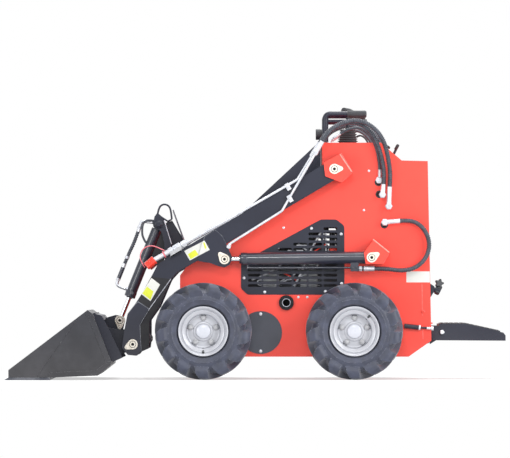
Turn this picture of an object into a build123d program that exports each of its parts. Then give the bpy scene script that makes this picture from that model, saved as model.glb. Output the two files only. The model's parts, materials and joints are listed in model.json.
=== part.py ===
"""Stand-on mini skid steer loader with its bucket, as separate pieces.

All sizes are in millimetres. X runs from the bucket's cutting edge (-X) to the
operator platform (+X), Y runs across the machine and Z is up. The origin lies
on the ground, below the centre of the machine's overall box. Side profiles are
lists of (x, z) corners. What is on both sides is made once, at negative Y, and
mirrored.
"""

import math
import os

from build123d import *

# ---------------------------------------------------------------- overall
WHEELBASE = 710
FRONT_AXLE_X = -248
BODY_WIDTH = 524
BUCKET_WIDTH = 1050
RUNNING_GAP = 5
PIN_CLEARANCE = 0.05

# ---------------------------------------------------------------- sheet and plate
PANEL_THICKNESS = 6
PLATE_THICKNESS = 8
SHEET_THICKNESS = 3

# ---------------------------------------------------------------- wheels
TYRE_RADIUS = 228
TYRE_WIDTH = 215
TYRE_WALL = 16
TYRE_TO_BODY = 23
RIM_SEAT_RADIUS = 101.6
RIM_FLANGE_RADIUS = 117
RIM_WIDTH = 190
RIM_GAUGE = 4
HUB_FLANGE_RADIUS = 68
AXLE_RADIUS = 22
AXLE_HOUSING_RADIUS = 46

# ---------------------------------------------------------------- boom and cylinders
ARM_TO_BODY = 23
ARM_WIDTH = 60
ARM_DEPTH = 90
ARM_WALL = 6
CHEEK_THICKNESS = 6
PIN_RADIUS = 15
BOSS_RADIUS = 27
RETAINER_RADIUS = 24
RETAINER_TAIL = 41
RETAINER_THICKNESS = 6
CROSS_TUBE_RADIUS = 30
FOOT_TUBE_RADIUS = 20
LIFT_BARREL_RADIUS = 29
LIFT_ROD_RADIUS = 14
LIFT_EYE_RADIUS = 27
LIFT_EYE_WIDTH = 42
BUCKET_BARREL_RADIUS = 25
BUCKET_ROD_RADIUS = 11
BUCKET_EYE_RADIUS = 21
BUCKET_EYE_WIDTH = 36
BUCKET_EYE_BORE = 12
BUCKET_TOP_EYE_RADIUS = 28
MAST_GAP = 60
PIPE_RADIUS = 6
HOSE_RADIUS = 10
SMALL_HOSE_RADIUS = 8

# ---------------------------------------------------------------- pivots, as (x, z)
BOOM_PIVOT = (369, 992)
LIFT_BASE = (544.5, 575)
LIFT_ROD_EYE = (-149, 567)
HITCH_PIVOT = (-581, 166)
BUCKET_ROD_EYE = (-648, 277)
BUCKET_CYLINDER_TOP = (-463, 735)
ELBOW_TUBE = (-430, 520)
FOOT_TUBE = (-520, 190)
PLATFORM_HINGE = (879, 220.5)
HOOD_HINGE = (308, 1118)

# ---------------------------------------------------------------- derived places
REAR_AXLE_X = FRONT_AXLE_X + WHEELBASE
AXLE_Z = TYRE_RADIUS
BODY_SIDE = BODY_WIDTH / 2
BODY_INSIDE = BODY_SIDE - PANEL_THICKNESS
ARM_INNER = BODY_SIDE + ARM_TO_BODY
ARM_OUTER = ARM_INNER + ARM_WIDTH
ARM_Y = ARM_INNER + ARM_WIDTH / 2
LUG_OUTER = ARM_OUTER + CHEEK_THICKNESS
LUG_INNER = ARM_INNER - CHEEK_THICKNESS
BRACKET_INNER = ARM_OUTER + RUNNING_GAP
BRACKET_OUTER = BRACKET_INNER + PANEL_THICKNESS
TYRE_INNER = BODY_SIDE + TYRE_TO_BODY
TYRE_Y = TYRE_INNER + TYRE_WIDTH / 2
BUCKET_SIDE = BUCKET_WIDTH / 2
MAST_INNER = MAST_GAP / 2
MAST_OUTER = MAST_INNER + PLATE_THICKNESS
BORE_RADIUS = PIN_RADIUS + PIN_CLEARANCE

NODES = {}


# ---------------------------------------------------------------- shape helpers
def profile(points, radius=0):
    """Face in the XZ plane from its corners, all rounded by one radius."""
    face = make_face(Polyline(*points, close=True))
    if radius:
        face = fillet(face.vertices(), radius)
    return face


def between(face, y_low, y_high):
    """Solid of an XZ face, from one Y plane to another."""
    return Pos(0, y_high, 0) * extrude(Plane.XZ * face, amount=y_high - y_low)


def plate(points, y_low, y_high, radius=0):
    """Flat piece with its side profile in the XZ plane."""
    return between(profile(points, radius), y_low, y_high)


def round_bar(centre, y_low, y_high, radius, bore=0):
    """Round piece along Y at an (x, z) centre, with an optional bore."""
    face = Circle(radius)
    if bore:
        face -= Circle(bore)
    return between(Pos(centre[0], centre[1]) * face, y_low, y_high)


def straight_bar(start, end, radius, bore=0):
    """Round bar or tube from one point to another."""
    axis = Vector(*end) - Vector(*start)
    face = Circle(radius)
    if bore:
        face -= Circle(bore)
    return extrude(Plane(origin=start, z_dir=axis) * face, amount=axis.length)


def strip(points, thickness, y_low, y_high):
    """Bent strip of sheet: its one face follows the points, its body lies to their left."""
    face = make_face(Polyline(*points, *reversed(left_of(points, thickness)), close=True))
    return between(face, y_low, y_high)


def left_of(points, distance):
    """Points moved sideways to the left of their line, mitred at the bends."""
    moved = []
    for index, (x, z) in enumerate(points):
        before = points[max(index - 1, 0)]
        after = points[min(index + 1, len(points) - 1)]
        normals = []
        for start, end in ((before, (x, z)), ((x, z), after)):
            length = math.dist(start, end)
            if length:
                normals.append(((start[1] - end[1]) / length, (end[0] - start[0]) / length))
        sum_x = sum(normal[0] for normal in normals)
        sum_z = sum(normal[1] for normal in normals)
        scale = distance * len(normals) / (sum_x**2 + sum_z**2)
        moved.append((x + sum_x * scale, z + sum_z * scale))
    return moved


def polar(centre, radius, degrees):
    """(x, z) point at a distance and an angle above +X from a centre."""
    angle = math.radians(degrees)
    return (centre[0] + radius * math.cos(angle), centre[1] + radius * math.sin(angle))


def along(start, end, distance):
    """(x, z) point at a distance from one point towards another."""
    share = distance / math.dist(start, end)
    return (start[0] + (end[0] - start[0]) * share, start[1] + (end[1] - start[1]) * share)


def teardrop(centre, radius, tail, degrees):
    """Face of a pin's retainer: a disc with a narrower tail for its bolt."""
    tip_radius = radius * 0.42
    tip = polar(centre, tail - tip_radius, degrees)
    spread = math.degrees(math.acos((radius - tip_radius) / (tail - tip_radius)))
    web = [
        polar(centre, radius, degrees + spread),
        polar(tip, tip_radius, degrees + spread),
        polar(tip, tip_radius, degrees - spread),
        polar(centre, radius, degrees - spread),
    ]
    body = profile(web) + Pos(*centre) * Circle(radius) + Pos(*tip) * Circle(tip_radius)
    return body


def tube_along(points, radius, bend=math.inf):
    """Round tube on straight runs joined by tangent arcs, as large as the runs or a bend allow."""
    vectors = [Vector(*point) for point in points]
    runs = [after - before for before, after in zip(vectors, vectors[1:])]
    radii = []
    for first, second in zip(runs, runs[1:]):
        turn = math.radians(first.get_angle(second))
        largest = 0.45 * min(first.length, second.length) / math.tan(turn / 2)
        radii.append(min(bend, largest))
    path = FilletPolyline(*points, radius=radii)
    return sweep(Plane(origin=points[0], z_dir=runs[0]) * Circle(radius), path=path), radii, path


def hose(name, points, radius):
    """Adds one hose as a node of its own and prints how tightly it bends."""
    tube, radii, path = tube_along(points, radius)
    filled = tube.volume / (math.pi * radius**2 * path.length)
    print(name, "length", round(path.length), "least bend", round(min(radii)), "fill", round(filled, 4))
    add(name, tube)


def mirrored(piece):
    """The same piece on the machine's other side."""
    return mirror(piece, about=Plane.XZ)


def add(name, *pieces):
    """Adds solids to a node."""
    for piece in pieces:
        NODES.setdefault(name, []).extend(piece.solids())


def add_pair(name, *pieces):
    """Adds the same solids on both sides to one node."""
    for piece in pieces:
        add(name, piece, mirrored(piece))


def add_sides(name, *pieces):
    """Adds solids as a left node and, mirrored, a right node."""
    for piece in pieces:
        add(f"{name}_left", piece)
        add(f"{name}_right", mirrored(piece))


# ---------------------------------------------------------------- body shell
SIDE_OUTLINE = [
    (-359, 107),
    (-359, 491),
    (-324, 538),
    (-299, 557),
    (-242, 564),
    (-75, 745),
    (312, 975),
    (312, 1118),
    (589, 1118),
    (643, 1072),
    (688, 1034),
    (811, 1031),
    (828, 183),
    (720, 107),
]
GRILLE_OUTLINE = [
    (-71, 429),
    (-71, 551),
    (306, 755),
    (379, 755),
    (417, 725),
    (417, 400),
    (-40, 400),
]
GRILLE_CORNER = 24
GRILLE_RIM = 24
SLOT_LENGTH = 65
SLOT_HEIGHT = 13
SLOT_PITCH_X = 71.4
SLOT_PITCH_Z = 24.4
SLOT_START = (-6, 443)
SLOT_COLUMNS = 6
SLOT_ROWS = 12
EXHAUST = (143, 362)
EXHAUST_OUTER = 34
EXHAUST_BORE = 16
EXHAUST_LENGTH = 60
ENGINE_TO_EXHAUST = 12
DRIVE_COVER = (21.5, 221)
DRIVE_COVER_RADIUS = 101
FLOOR_TOP = 115


def side_panels():
    """The two side panels, with their grille openings and holes for the axles and exhaust."""
    opening = offset(profile(GRILLE_OUTLINE, GRILLE_CORNER), amount=-GRILLE_RIM)
    face = profile(SIDE_OUTLINE) - opening
    for x in (FRONT_AXLE_X, REAR_AXLE_X):
        face -= Pos(x, AXLE_Z) * Circle(AXLE_HOUSING_RADIUS)
    left_face = face - Pos(*EXHAUST) * Circle(EXHAUST_OUTER + 1)
    add("side_panels", between(left_face, -BODY_SIDE, -BODY_INSIDE))
    add("side_panels", mirrored(between(face, -BODY_SIDE, -BODY_INSIDE)))


def grilles():
    """Slotted engine grilles, seated on the outer faces of the side panels."""
    sheet = profile(GRILLE_OUTLINE, GRILLE_CORNER)
    inside = offset(sheet, amount=-GRILLE_RIM)
    for column in range(SLOT_COLUMNS):
        for row in range(SLOT_ROWS):
            x = SLOT_START[0] + column * SLOT_PITCH_X
            z = SLOT_START[1] + row * SLOT_PITCH_Z
            slot = Pos(x, z) * SlotOverall(SLOT_LENGTH, SLOT_HEIGHT)
            if abs((inside & slot).area - slot.area) < 1:
                sheet -= slot
    add_pair("engine_grilles", between(sheet, -BODY_SIDE - SHEET_THICKNESS, -BODY_SIDE))


def body_frame():
    """Floor pan, bulkheads and axle housings inside the side panels."""
    floor_outline = [(-353, FLOOR_TOP - PLATE_THICKNESS), (-353, FLOOR_TOP), (727, FLOOR_TOP)]
    floor_outline.append((715, FLOOR_TOP - PLATE_THICKNESS))
    add("chassis_frame", plate(floor_outline, -BODY_INSIDE, BODY_INSIDE))
    for x, z_low, z_high in BULKHEADS:
        wall = Box(PLATE_THICKNESS, 2 * BODY_INSIDE, z_high - z_low)
        add("chassis_frame", Pos(x, 0, (z_low + z_high) / 2) * wall)
    for x in (FRONT_AXLE_X, REAR_AXLE_X):
        housing = round_bar(
            (x, AXLE_Z), -HOUSING_END, -HOUSING_START, AXLE_HOUSING_RADIUS, AXLE_RADIUS + PIN_CLEARANCE
        )
        collar = round_bar((x, AXLE_Z), -BODY_SIDE - 12, -BODY_SIDE, 70, AXLE_HOUSING_RADIUS)
        add_pair("chassis_frame", housing + collar)


# x, lowest and highest z of each bulkhead
BULKHEADS = [(-100, FLOOR_TOP, 420), (402, FLOOR_TOP, 1040)]
HOUSING_START = BODY_SIDE - 40
RIM_DISC_Y = TYRE_Y + 34
HOUSING_END = RIM_DISC_Y - 26


COWL_LINE = [(-353, FLOOR_TOP), (-353, 489), (-320, 533), (-297, 551), (-240, 558), (-76, 736)]
DECK_LINE = [(318, 985), (318, 1112), (587, 1112), (639, 1068), (686, 1028), (790, 1025)]
REAR_LINE = [(798, 1025), (805, 1025), (822, 186), (722, 116)]


def top_deck():
    """Bent top deck of the body."""
    return strip(DECK_LINE, SHEET_THICKNESS, -BODY_INSIDE, BODY_INSIDE)


def rear_x(z):
    """X of the rear cover's outer face at a height."""
    (top_x, top_z), (low_x, low_z) = REAR_LINE[1:3]
    return top_x + (low_x - top_x) * (top_z - z) / (top_z - low_z)


def covers():
    """Front cowl, top deck and rear cover between the side panels."""
    add("front_cowl", strip(COWL_LINE, SHEET_THICKNESS, -BODY_INSIDE, BODY_INSIDE))
    add("top_deck", top_deck() + hinge_leaves())
    add("rear_cover", strip(REAR_LINE, -SHEET_THICKNESS, -BODY_INSIDE, BODY_INSIDE))


def side_covers():
    """Round drive covers on both sides and the exhaust outlet on the left."""
    disc = round_bar(DRIVE_COVER, -BODY_SIDE - SHEET_THICKNESS, -BODY_SIDE, DRIVE_COVER_RADIUS)
    add_pair("drive_covers", disc)
    outlet = round_bar(EXHAUST, -BODY_SIDE - 14, -BODY_SIDE + EXHAUST_LENGTH, EXHAUST_OUTER)
    throat = round_bar(
        EXHAUST, -BODY_SIDE - 14, -BODY_SIDE - 14 + EXHAUST_LENGTH, EXHAUST_BORE
    )
    add("exhaust_outlet", outlet - throat)


def engine():
    """Engine as one plain block on its two rails."""
    half = BODY_SIDE - EXHAUST_LENGTH - ENGINE_TO_EXHAUST
    block = Pos(170, 0, 365) * Box(430, 2 * half, 430)
    rails = [Pos(170, y, 132.5) * Box(430, 50, 35) for y in (50 - half, half - 50)]
    add("engine_block", block + rails[0] + rails[1])


# ---------------------------------------------------------------- boom pivot brackets
BOOM_BRACKET = [(318, 1022), (400, 1065), (454, 978), (400, 929), (326, 958)]
LIFT_BRACKET = [(508, 598), (554, 660), (628, 598), (596, 545), (516, 545)]


def pivot_brackets():
    """Outer bracket plates of the boom and lift cylinder pivots, on walls from the body."""
    for points, centre in ((BOOM_BRACKET, BOOM_PIVOT), (LIFT_BRACKET, LIFT_BASE)):
        face = profile(points) - Pos(*centre) * Circle(PIN_RADIUS)
        outer = between(face, -BRACKET_OUTER, -BRACKET_INNER)
        wall = strip(points[1:4], -PANEL_THICKNESS, -BRACKET_INNER, -BODY_SIDE)
        add_pair("pivot_brackets", outer + wall)


def retainer(centre, y_face, degrees):
    """Pin's retainer plate on the outer face of a bracket, towards -Y."""
    face = teardrop(centre, RETAINER_RADIUS, RETAINER_TAIL, degrees)
    return between(face, y_face - RETAINER_THICKNESS, y_face)


def body_pins():
    """Pins fixed in the body's brackets, with their retainers."""
    for centre, degrees in ((BOOM_PIVOT, 3), (LIFT_BASE, 30)):
        pin = round_bar(centre, -BRACKET_OUTER, -BODY_SIDE, PIN_RADIUS)
        add_pair("body_pins", pin + retainer(centre, -BRACKET_OUTER, degrees))


# ---------------------------------------------------------------- hood
HOOD_FRONT = (-60, 785)
HOOD_LINE = [(-60, 740), HOOD_FRONT, (286, 1107), (306, 1111)]
SKIRT_OUTLINE = [(-60, 740), HOOD_FRONT, (286, 1107), (306, 1111), (306, 1000), (130, 880)]
HOOD_GAP = 6
KNUCKLE_Y = BODY_INSIDE - 51
HOOD_KNUCKLES = (-KNUCKLE_Y, KNUCKLE_Y)
KNUCKLE_RADIUS = 6
KNUCKLE_HALF = 30
LEAF_WIDTH = 15
LEAF_GAP = 0.3
LEAF_THICKNESS = 4


def leaf_spans():
    """Y spans of the deck's own hinge knuckles, on either side of each hood knuckle."""
    spans = []
    for y in HOOD_KNUCKLES:
        for side in (-1, 1):
            start = y + side * (KNUCKLE_HALF + LEAF_GAP)
            spans.append(sorted((start, start + side * LEAF_WIDTH)))
    return spans


def hood():
    """Sloping engine hood with its side skirts, hinged at its top edge."""
    y_skirt = BODY_INSIDE - HOOD_GAP
    shell = strip(HOOD_LINE, SHEET_THICKNESS, -y_skirt, y_skirt)
    skirt = plate(SKIRT_OUTLINE, -y_skirt, -y_skirt + SHEET_THICKNESS)
    for y_low, y_high in leaf_spans():
        shell -= round_bar(HOOD_HINGE, y_low - LEAF_GAP, y_high + LEAF_GAP, KNUCKLE_RADIUS + LEAF_GAP)
    for y in HOOD_KNUCKLES:
        shell += round_bar(HOOD_HINGE, y - KNUCKLE_HALF, y + KNUCKLE_HALF, KNUCKLE_RADIUS)
    add("hood", shell + skirt + mirrored(skirt))


def hinge_leaves():
    """Deck's own halves of the hood's hinges."""
    x, deck_z = HOOD_HINGE[0], DECK_LINE[1][1] + SHEET_THICKNESS
    top = deck_z + LEAF_THICKNESS
    leaves = Part()
    for y_low, y_high in leaf_spans():
        leaves += round_bar(HOOD_HINGE, y_low, y_high, KNUCKLE_RADIUS)
        leaves += plate([(x, deck_z), (x + 26, deck_z), (x + 26, top), (x, top)], y_low, y_high)
    return leaves


# ---------------------------------------------------------------- controls
GRAB_BAR_RADIUS = 14
GRAB_Z = 1256
RAIL_RADIUS = 9
RAIL_Z = 1222
POST_X = 329
POST_Y = 130


def controls():
    """Grab bar, control levers, work light and the lever's rubber boot."""
    deck_z = DECK_LINE[1][1] + SHEET_THICKNESS
    bars = straight_bar((POST_X, -POST_Y, RAIL_Z), (POST_X, POST_Y, RAIL_Z), RAIL_RADIUS)
    for y in (-POST_Y, POST_Y):
        post = [(POST_X, y, deck_z), (POST_X, y, GRAB_Z), (505, y, GRAB_Z)]
        bars += tube_along(post, GRAB_BAR_RADIUS, GRAB_BAR_RADIUS * 1.6)[0]
        bars += straight_bar((POST_X, y, RAIL_Z), (505, y, RAIL_Z), RAIL_RADIUS)
    add("grab_bar", bars)
    stem = straight_bar((437, 0, deck_z + 66), (437, 0, 1262), 9)
    bar = straight_bar((418, -70, 1276), (418, 70, 1276), 13)
    neck = straight_bar((437, 0, 1250), (418, 0, 1276), 9)
    add("control_levers", stem + neck + bar)
    boot = revolve(Plane.XZ * make_face(Polyline(*BOOT_OUTLINE, close=True)), axis=Axis.Z)
    add("lever_boot", Pos(437, 0, deck_z) * boot)
    lines = (left_of(DECK_LINE[3:5], SHEET_THICKNESS + height) for height in (0, 4, 3))
    base, crown, core = ((x, -60, z) for x, z in (along(*line, 13) for line in lines))
    add("control_levers", straight_bar(base, crown, 11) + straight_bar(core, (676, -60, 1113), 6))
    lamp = Pos(300, 0, 1163) * Rot(0, 90, 0) * Cylinder(24, 30)
    bracket = Pos(321, 0, deck_z + 25) * Box(12, 30, 50)
    add("work_light", lamp + bracket)


BOOT_OUTLINE = [(10, 0), (40, 0), (40, 20), (34, 40), (26, 66), (9, 66), (9, 60)]


# ---------------------------------------------------------------- wheels
def tyre(x, name):
    """Hollow tyre seated on its rim."""
    half = TYRE_WIDTH / 2
    tread = TYRE_RADIUS
    outer = [
        (RIM_SEAT_RADIUS, half * 0.82),
        (RIM_FLANGE_RADIUS + 8, half * 0.9),
        (tread - 55, half),
        (tread - 30, half * 0.98),
        (tread - 6, half * 0.8),
        (tread, half * 0.45),
    ]
    inner = [
        (tread - TYRE_WALL, half * 0.4),
        (tread - TYRE_WALL - 12, half * 0.72),
        (tread - 60, half - TYRE_WALL),
        (RIM_SEAT_RADIUS + 20, half * 0.72),
        (RIM_SEAT_RADIUS, half * 0.68),
    ]
    ring = outer + [(r, -y) for r, y in reversed(outer)]
    hollow = [(r, -y) for r, y in reversed(inner)] + inner
    face = make_face(Polyline(*ring, *hollow, close=True))
    solid = revolve(face, axis=Axis.Y)
    add(name, Pos(x, -TYRE_Y, AXLE_Z) * solid)


def wheel_rim(x, name):
    """Steel rim with its drop centre, bolted disc, hub and stub axle."""
    half = RIM_WIDTH / 2
    seat = RIM_SEAT_RADIUS - 0.2
    section = [
        (RIM_FLANGE_RADIUS, half),
        (seat, half - 6),
        (seat, half - 30),
        (seat - 16, half - 46),
        (seat - 16, -half + 60),
        (seat, -half + 40),
        (seat, -half + 6),
        (RIM_FLANGE_RADIUS, -half),
    ]
    inner = [(r - RIM_GAUGE, y) for r, y in section]
    barrel = revolve(make_face(Polyline(*section, *reversed(inner), close=True)), axis=Axis.Y)
    disc_y = TYRE_Y - RIM_DISC_Y
    disc_radius = seat - 16 - RIM_GAUGE / 2
    disc = Pos(0, disc_y, 0) * Rot(90, 0, 0) * Cylinder(disc_radius, 5)
    rim = barrel + disc
    hub_end = disc_y + 2.5
    hub = Pos(0, hub_end + 8, 0) * Rot(90, 0, 0) * Cylinder(HUB_FLANGE_RADIUS, 16)
    stub_end = TYRE_Y - HOUSING_START + 15
    stub = Pos(0, (hub_end + stub_end) / 2, 0) * Rot(90, 0, 0) * Cylinder(AXLE_RADIUS, stub_end - hub_end)
    cap = Pos(0, disc_y - 2.5 - 9, 0) * Rot(90, 0, 0) * Cylinder(29, 18)
    place = Pos(x, -TYRE_Y, AXLE_Z)
    add(name, place * (rim + cap), place * (hub + stub))


def wheels():
    """Four wheels; the pieces are made on the left and mirrored."""
    for end, x in (("front", FRONT_AXLE_X), ("rear", REAR_AXLE_X)):
        for make, kind in ((tyre, "tyre"), (wheel_rim, "rim")):
            left = f"{kind}_{end}_left"
            make(x, left)
            for solid in NODES[left]:
                add(f"{kind}_{end}_right", mirrored(solid))


# ---------------------------------------------------------------- boom
ARM_OUTLINE = [
    (345.4, 1030.3),
    (-462, 545),
    (-493, 486),
    (-542, 399),
    (-590, 325),
    (-614, 240),
    (-621, 166),
    (-609, 138),
    (-581, 126),
    (-545, 129),
    (-507, 146),
    (-502, 182),
    (-502, 278),
    (-456, 343),
    (-403, 470),
    (-369, 507),
    (-278, 559),
    (392.6, 953.7),
]
LUG_OUTLINE = [
    (-190, 704),
    (-158, 672),
    (-123, 600),
    (-112, 575),
    (-125, 540),
    (-149, 528),
    (-180, 535),
    (-217, 549),
    (-278, 559),
    (-240, 672),
]
CHEEK_OUTLINE = [
    (-557, 366),
    (-606, 306),
    (-621, 232),
    (-632, 150),
    (-604, 116),
    (-560, 112),
    (-542, 135),
    (-548, 259),
    (-504, 331),
]


def boom_arms():
    """Box section arms from the boom pivot to the hitch, with cheeks and cylinder lugs."""
    shape = profile(ARM_OUTLINE) + Pos(*BOOM_PIVOT) * Circle(ARM_DEPTH / 2)
    core = offset(shape, amount=-ARM_WALL, kind=Kind.INTERSECTION)
    arm = between(shape, -ARM_OUTER, -ARM_INNER)
    arm -= between(core, -ARM_OUTER + ARM_WALL, -ARM_INNER - ARM_WALL)
    for face in (profile(CHEEK_OUTLINE, 12), profile(LUG_OUTLINE, 10)):
        arm += between(face, -LUG_OUTER, -ARM_OUTER)
        arm += between(face, -ARM_INNER, -LUG_INNER)
    for centre in (BOOM_PIVOT, HITCH_PIVOT):
        arm += round_bar(centre, -ARM_OUTER, -ARM_INNER, BOSS_RADIUS)
        arm -= round_bar(centre, -LUG_OUTER - 1, -LUG_INNER + 1, BORE_RADIUS)
    arm -= round_bar(LIFT_ROD_EYE, -LUG_OUTER - 1, -LUG_INNER + 1, PIN_RADIUS)
    add_pair("boom_arms", arm)


MAST_OUTLINE = [
    (-486, 768),
    (-472, 787),
    (-425, 745),
    (-399, 752),
    (-342, 658),
    (-385, 545),
    (-398, 476),
    (-460, 476),
    (-478, 560),
    (-492, 700),
]
MAST_BAR = [
    (-486, 768),
    (-472, 787),
    (-438, 757),
    (-402, 640),
    (-425, 545),
    (-455, 545),
    (-478, 600),
    (-492, 700),
]
MAST_BACK = [(-342, 658), (-397, 805)]
GUIDE_LOOP = [(-468, 784), (-463, 815), (-441, 832), (-414, 824), (-404, 795), (-401, 758)]
GUIDE_RADIUS = 3.5
GUIDE_Y = -(MAST_INNER + MAST_OUTER) / 2


def boom_cross_members():
    """Cross tubes between the arms and the mast that holds the bucket cylinder."""
    for centre, radius in ((ELBOW_TUBE, CROSS_TUBE_RADIUS), (FOOT_TUBE, FOOT_TUBE_RADIUS)):
        add("boom_cross_tubes", round_bar(centre, -ARM_INNER, ARM_INNER, radius, radius - ARM_WALL))
    side = plate(MAST_OUTLINE, -MAST_OUTER, -MAST_INNER)
    bar = plate(MAST_BAR, -MAST_OUTER - PLATE_THICKNESS, -MAST_OUTER)
    back = strip(MAST_BACK, PANEL_THICKNESS, -MAST_OUTER, MAST_OUTER)
    loop = tube_along([(x, GUIDE_Y, z) for x, z in GUIDE_LOOP], GUIDE_RADIUS)[0]
    sides = side + bar
    mast = sides + mirrored(sides) + back + loop
    mast -= round_bar(BUCKET_CYLINDER_TOP, -BODY_SIDE, BODY_SIDE, PIN_RADIUS)
    mast -= round_bar(ELBOW_TUBE, -BODY_SIDE, BODY_SIDE, CROSS_TUBE_RADIUS)
    add("cylinder_mast", mast)


def boom_pins():
    """Pins that belong to the boom: cylinder top pin and the stubs beside the lift rods' eyes."""
    half = MAST_OUTER + PLATE_THICKNESS
    add("boom_pins", round_bar(BUCKET_CYLINDER_TOP, -half - 6, half + 6, PIN_RADIUS))
    eye_side = LIFT_EYE_WIDTH / 2 + 1
    outer = round_bar(LIFT_ROD_EYE, -LUG_OUTER, -ARM_Y - eye_side, PIN_RADIUS)
    inner = round_bar(LIFT_ROD_EYE, -ARM_Y + eye_side, -LUG_INNER, PIN_RADIUS)
    add_pair("boom_pins", outer + retainer(LIFT_ROD_EYE, -LUG_OUTER, 130), inner)


# ---------------------------------------------------------------- boom pipes and couplers
PIPE_Y = -(LUG_OUTER + PIPE_RADIUS + 1)
UPPER_PIPE = [(-330, PIPE_Y, 646), (-123, PIPE_Y, 760), (194, PIPE_Y, 941), (270, PIPE_Y, 1066)]
LOWER_PIPE = [
    (-132, PIPE_Y, 618),
    (-123, PIPE_Y, 640),
    (122, PIPE_Y, 794),
    (168, PIPE_Y, 875),
    (252, PIPE_Y - 20, 1019),
    (284, PIPE_Y - 26, 1074),
]
PIPE_BEND = 30
FERRULE_RADIUS = 11
FERRULE_LENGTH = 56
COUPLER_LENGTH = 118
COUPLER_RADIUS = 15
CAP_START = (-480, PIPE_Y, 563)
CAP_END = (-516, PIPE_Y, 533)
CAP_RADIUS = 21
NOSE_LENGTH = 58
SADDLE = [(-350, 612.4), (-400, 582.3), (-398, 606), (-348, 634)]
CLAMPS = [(150, 908), (160, 852)]
CLAMP_SIZE = 34


def beyond(start, end, distance):
    """Point at a distance past the end of a run."""
    axis = Vector(*end) - Vector(*start)
    point = Vector(*end) + axis.normalized() * distance
    return (point.X, point.Y, point.Z)


def boom_pipes():
    """Steel pipes on the outer faces of the arms, each ending in a hose ferrule."""
    pipes = Part()
    for points in (UPPER_PIPE, LOWER_PIPE):
        end = beyond(points[-2], points[-1], FERRULE_LENGTH)
        pipe = tube_along(points, PIPE_RADIUS, PIPE_BEND)[0]
        pipes += pipe + straight_bar(points[-1], end, FERRULE_RADIUS)
    depth = -ARM_OUTER - PIPE_Y + PIPE_RADIUS
    for x, z in CLAMPS:
        pipes += Pos(x, -ARM_OUTER - depth / 2, z) * Rot(0, -31, 0) * Box(20, depth, CLAMP_SIZE)
    add_pair("boom_pipes", pipes)


def couplers():
    """Auxiliary hydraulic couplers in front of the upper pipes, with their dust caps."""
    end = beyond(UPPER_PIPE[1], UPPER_PIPE[0], COUPLER_LENGTH)
    body = straight_bar(UPPER_PIPE[0], end, COUPLER_RADIUS)
    nose = straight_bar(beyond(CAP_END, CAP_START, NOSE_LENGTH), CAP_START, COUPLER_RADIUS * 0.8)
    saddle = plate(SADDLE, PIPE_Y, -ARM_OUTER)
    add_pair("aux_couplers", body + nose + saddle)
    add_pair("coupler_caps", straight_bar(CAP_START, CAP_END, CAP_RADIUS))


# ---------------------------------------------------------------- lift cylinders
LIFT_BARREL_LENGTH = 616
LIFT_ROD_INSERT = 453
LIFT_ROD_STANDOFF = 5
NECK_HEIGHT = 40
PORT_CENTRE = (464, 533)
PORT_SIZE = (38, 36, 46)
FEED_RADIUS = 5
FEED_Z = 527
FEED_HEAD_X = -40
PORT_FERRULE_END = 557
PORT_FERRULE_Z = 522.7


def neck(pivot, towards, width, reach):
    """Block that joins a cylinder's eye to its barrel."""
    axis = Vector(towards[0] - pivot[0], 0, towards[1] - pivot[1])
    base = Plane(origin=(pivot[0], 0, pivot[1]), x_dir=(0, 1, 0), z_dir=axis)
    return extrude(base * Rectangle(width, NECK_HEIGHT), amount=reach)


def lift_cylinders():
    """Lift cylinder barrels and rods, one of each on either side."""
    y = -ARM_Y
    rod_station = LIFT_BARREL_LENGTH - LIFT_ROD_INSERT
    stations = (LIFT_EYE_RADIUS + 3, rod_station - LIFT_ROD_STANDOFF, rod_station, LIFT_BARREL_LENGTH)
    points = (along(LIFT_BASE, LIFT_ROD_EYE, station) for station in stations)
    start, inner_end, rod_start, head = points
    barrel = straight_bar((start[0], y, start[1]), (head[0], y, head[1]), LIFT_BARREL_RADIUS)
    barrel += round_bar(LIFT_BASE, y - LIFT_EYE_WIDTH / 2, y + LIFT_EYE_WIDTH / 2, LIFT_EYE_RADIUS)
    barrel += Pos(0, y, 0) * neck(LIFT_BASE, LIFT_ROD_EYE, LIFT_EYE_WIDTH, stations[0])
    bore_radius = LIFT_ROD_RADIUS + PIN_CLEARANCE
    barrel -= straight_bar((inner_end[0], y, inner_end[1]), (head[0], y, head[1]), bore_radius)
    barrel -= round_bar(LIFT_BASE, -BRACKET_OUTER, -BODY_SIDE, BORE_RADIUS)
    barrel += Pos(PORT_CENTRE[0], y, PORT_CENTRE[1]) * Box(*PORT_SIZE)
    port_x = PORT_CENTRE[0] - PORT_SIZE[0] / 2 + 1
    barrel += straight_bar((port_x, y, FEED_Z), (FEED_HEAD_X, y, FEED_Z), FEED_RADIUS)
    barrel += straight_bar((FEED_HEAD_X, y, FEED_Z - FEED_RADIUS), (FEED_HEAD_X, y, FEED_Z + 18), FEED_RADIUS)
    port_x = PORT_CENTRE[0] + PORT_SIZE[0] / 2 - 1
    barrel += straight_bar((port_x, y, PORT_FERRULE_Z), (PORT_FERRULE_END, y, PORT_FERRULE_Z), FERRULE_RADIUS)
    add_sides("lift_barrel", barrel)
    eye = round_bar(LIFT_ROD_EYE, y - LIFT_EYE_WIDTH / 2, y + LIFT_EYE_WIDTH / 2, LIFT_EYE_RADIUS)
    rod_end = along(LIFT_ROD_EYE, LIFT_BASE, LIFT_EYE_RADIUS * 0.6)
    rod = straight_bar((rod_start[0], y, rod_start[1]), (rod_end[0], y, rod_end[1]), LIFT_ROD_RADIUS)
    rod = eye + rod - round_bar(LIFT_ROD_EYE, -BRACKET_OUTER, -BODY_SIDE, BORE_RADIUS)
    add_sides("lift_rod", rod)


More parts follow.
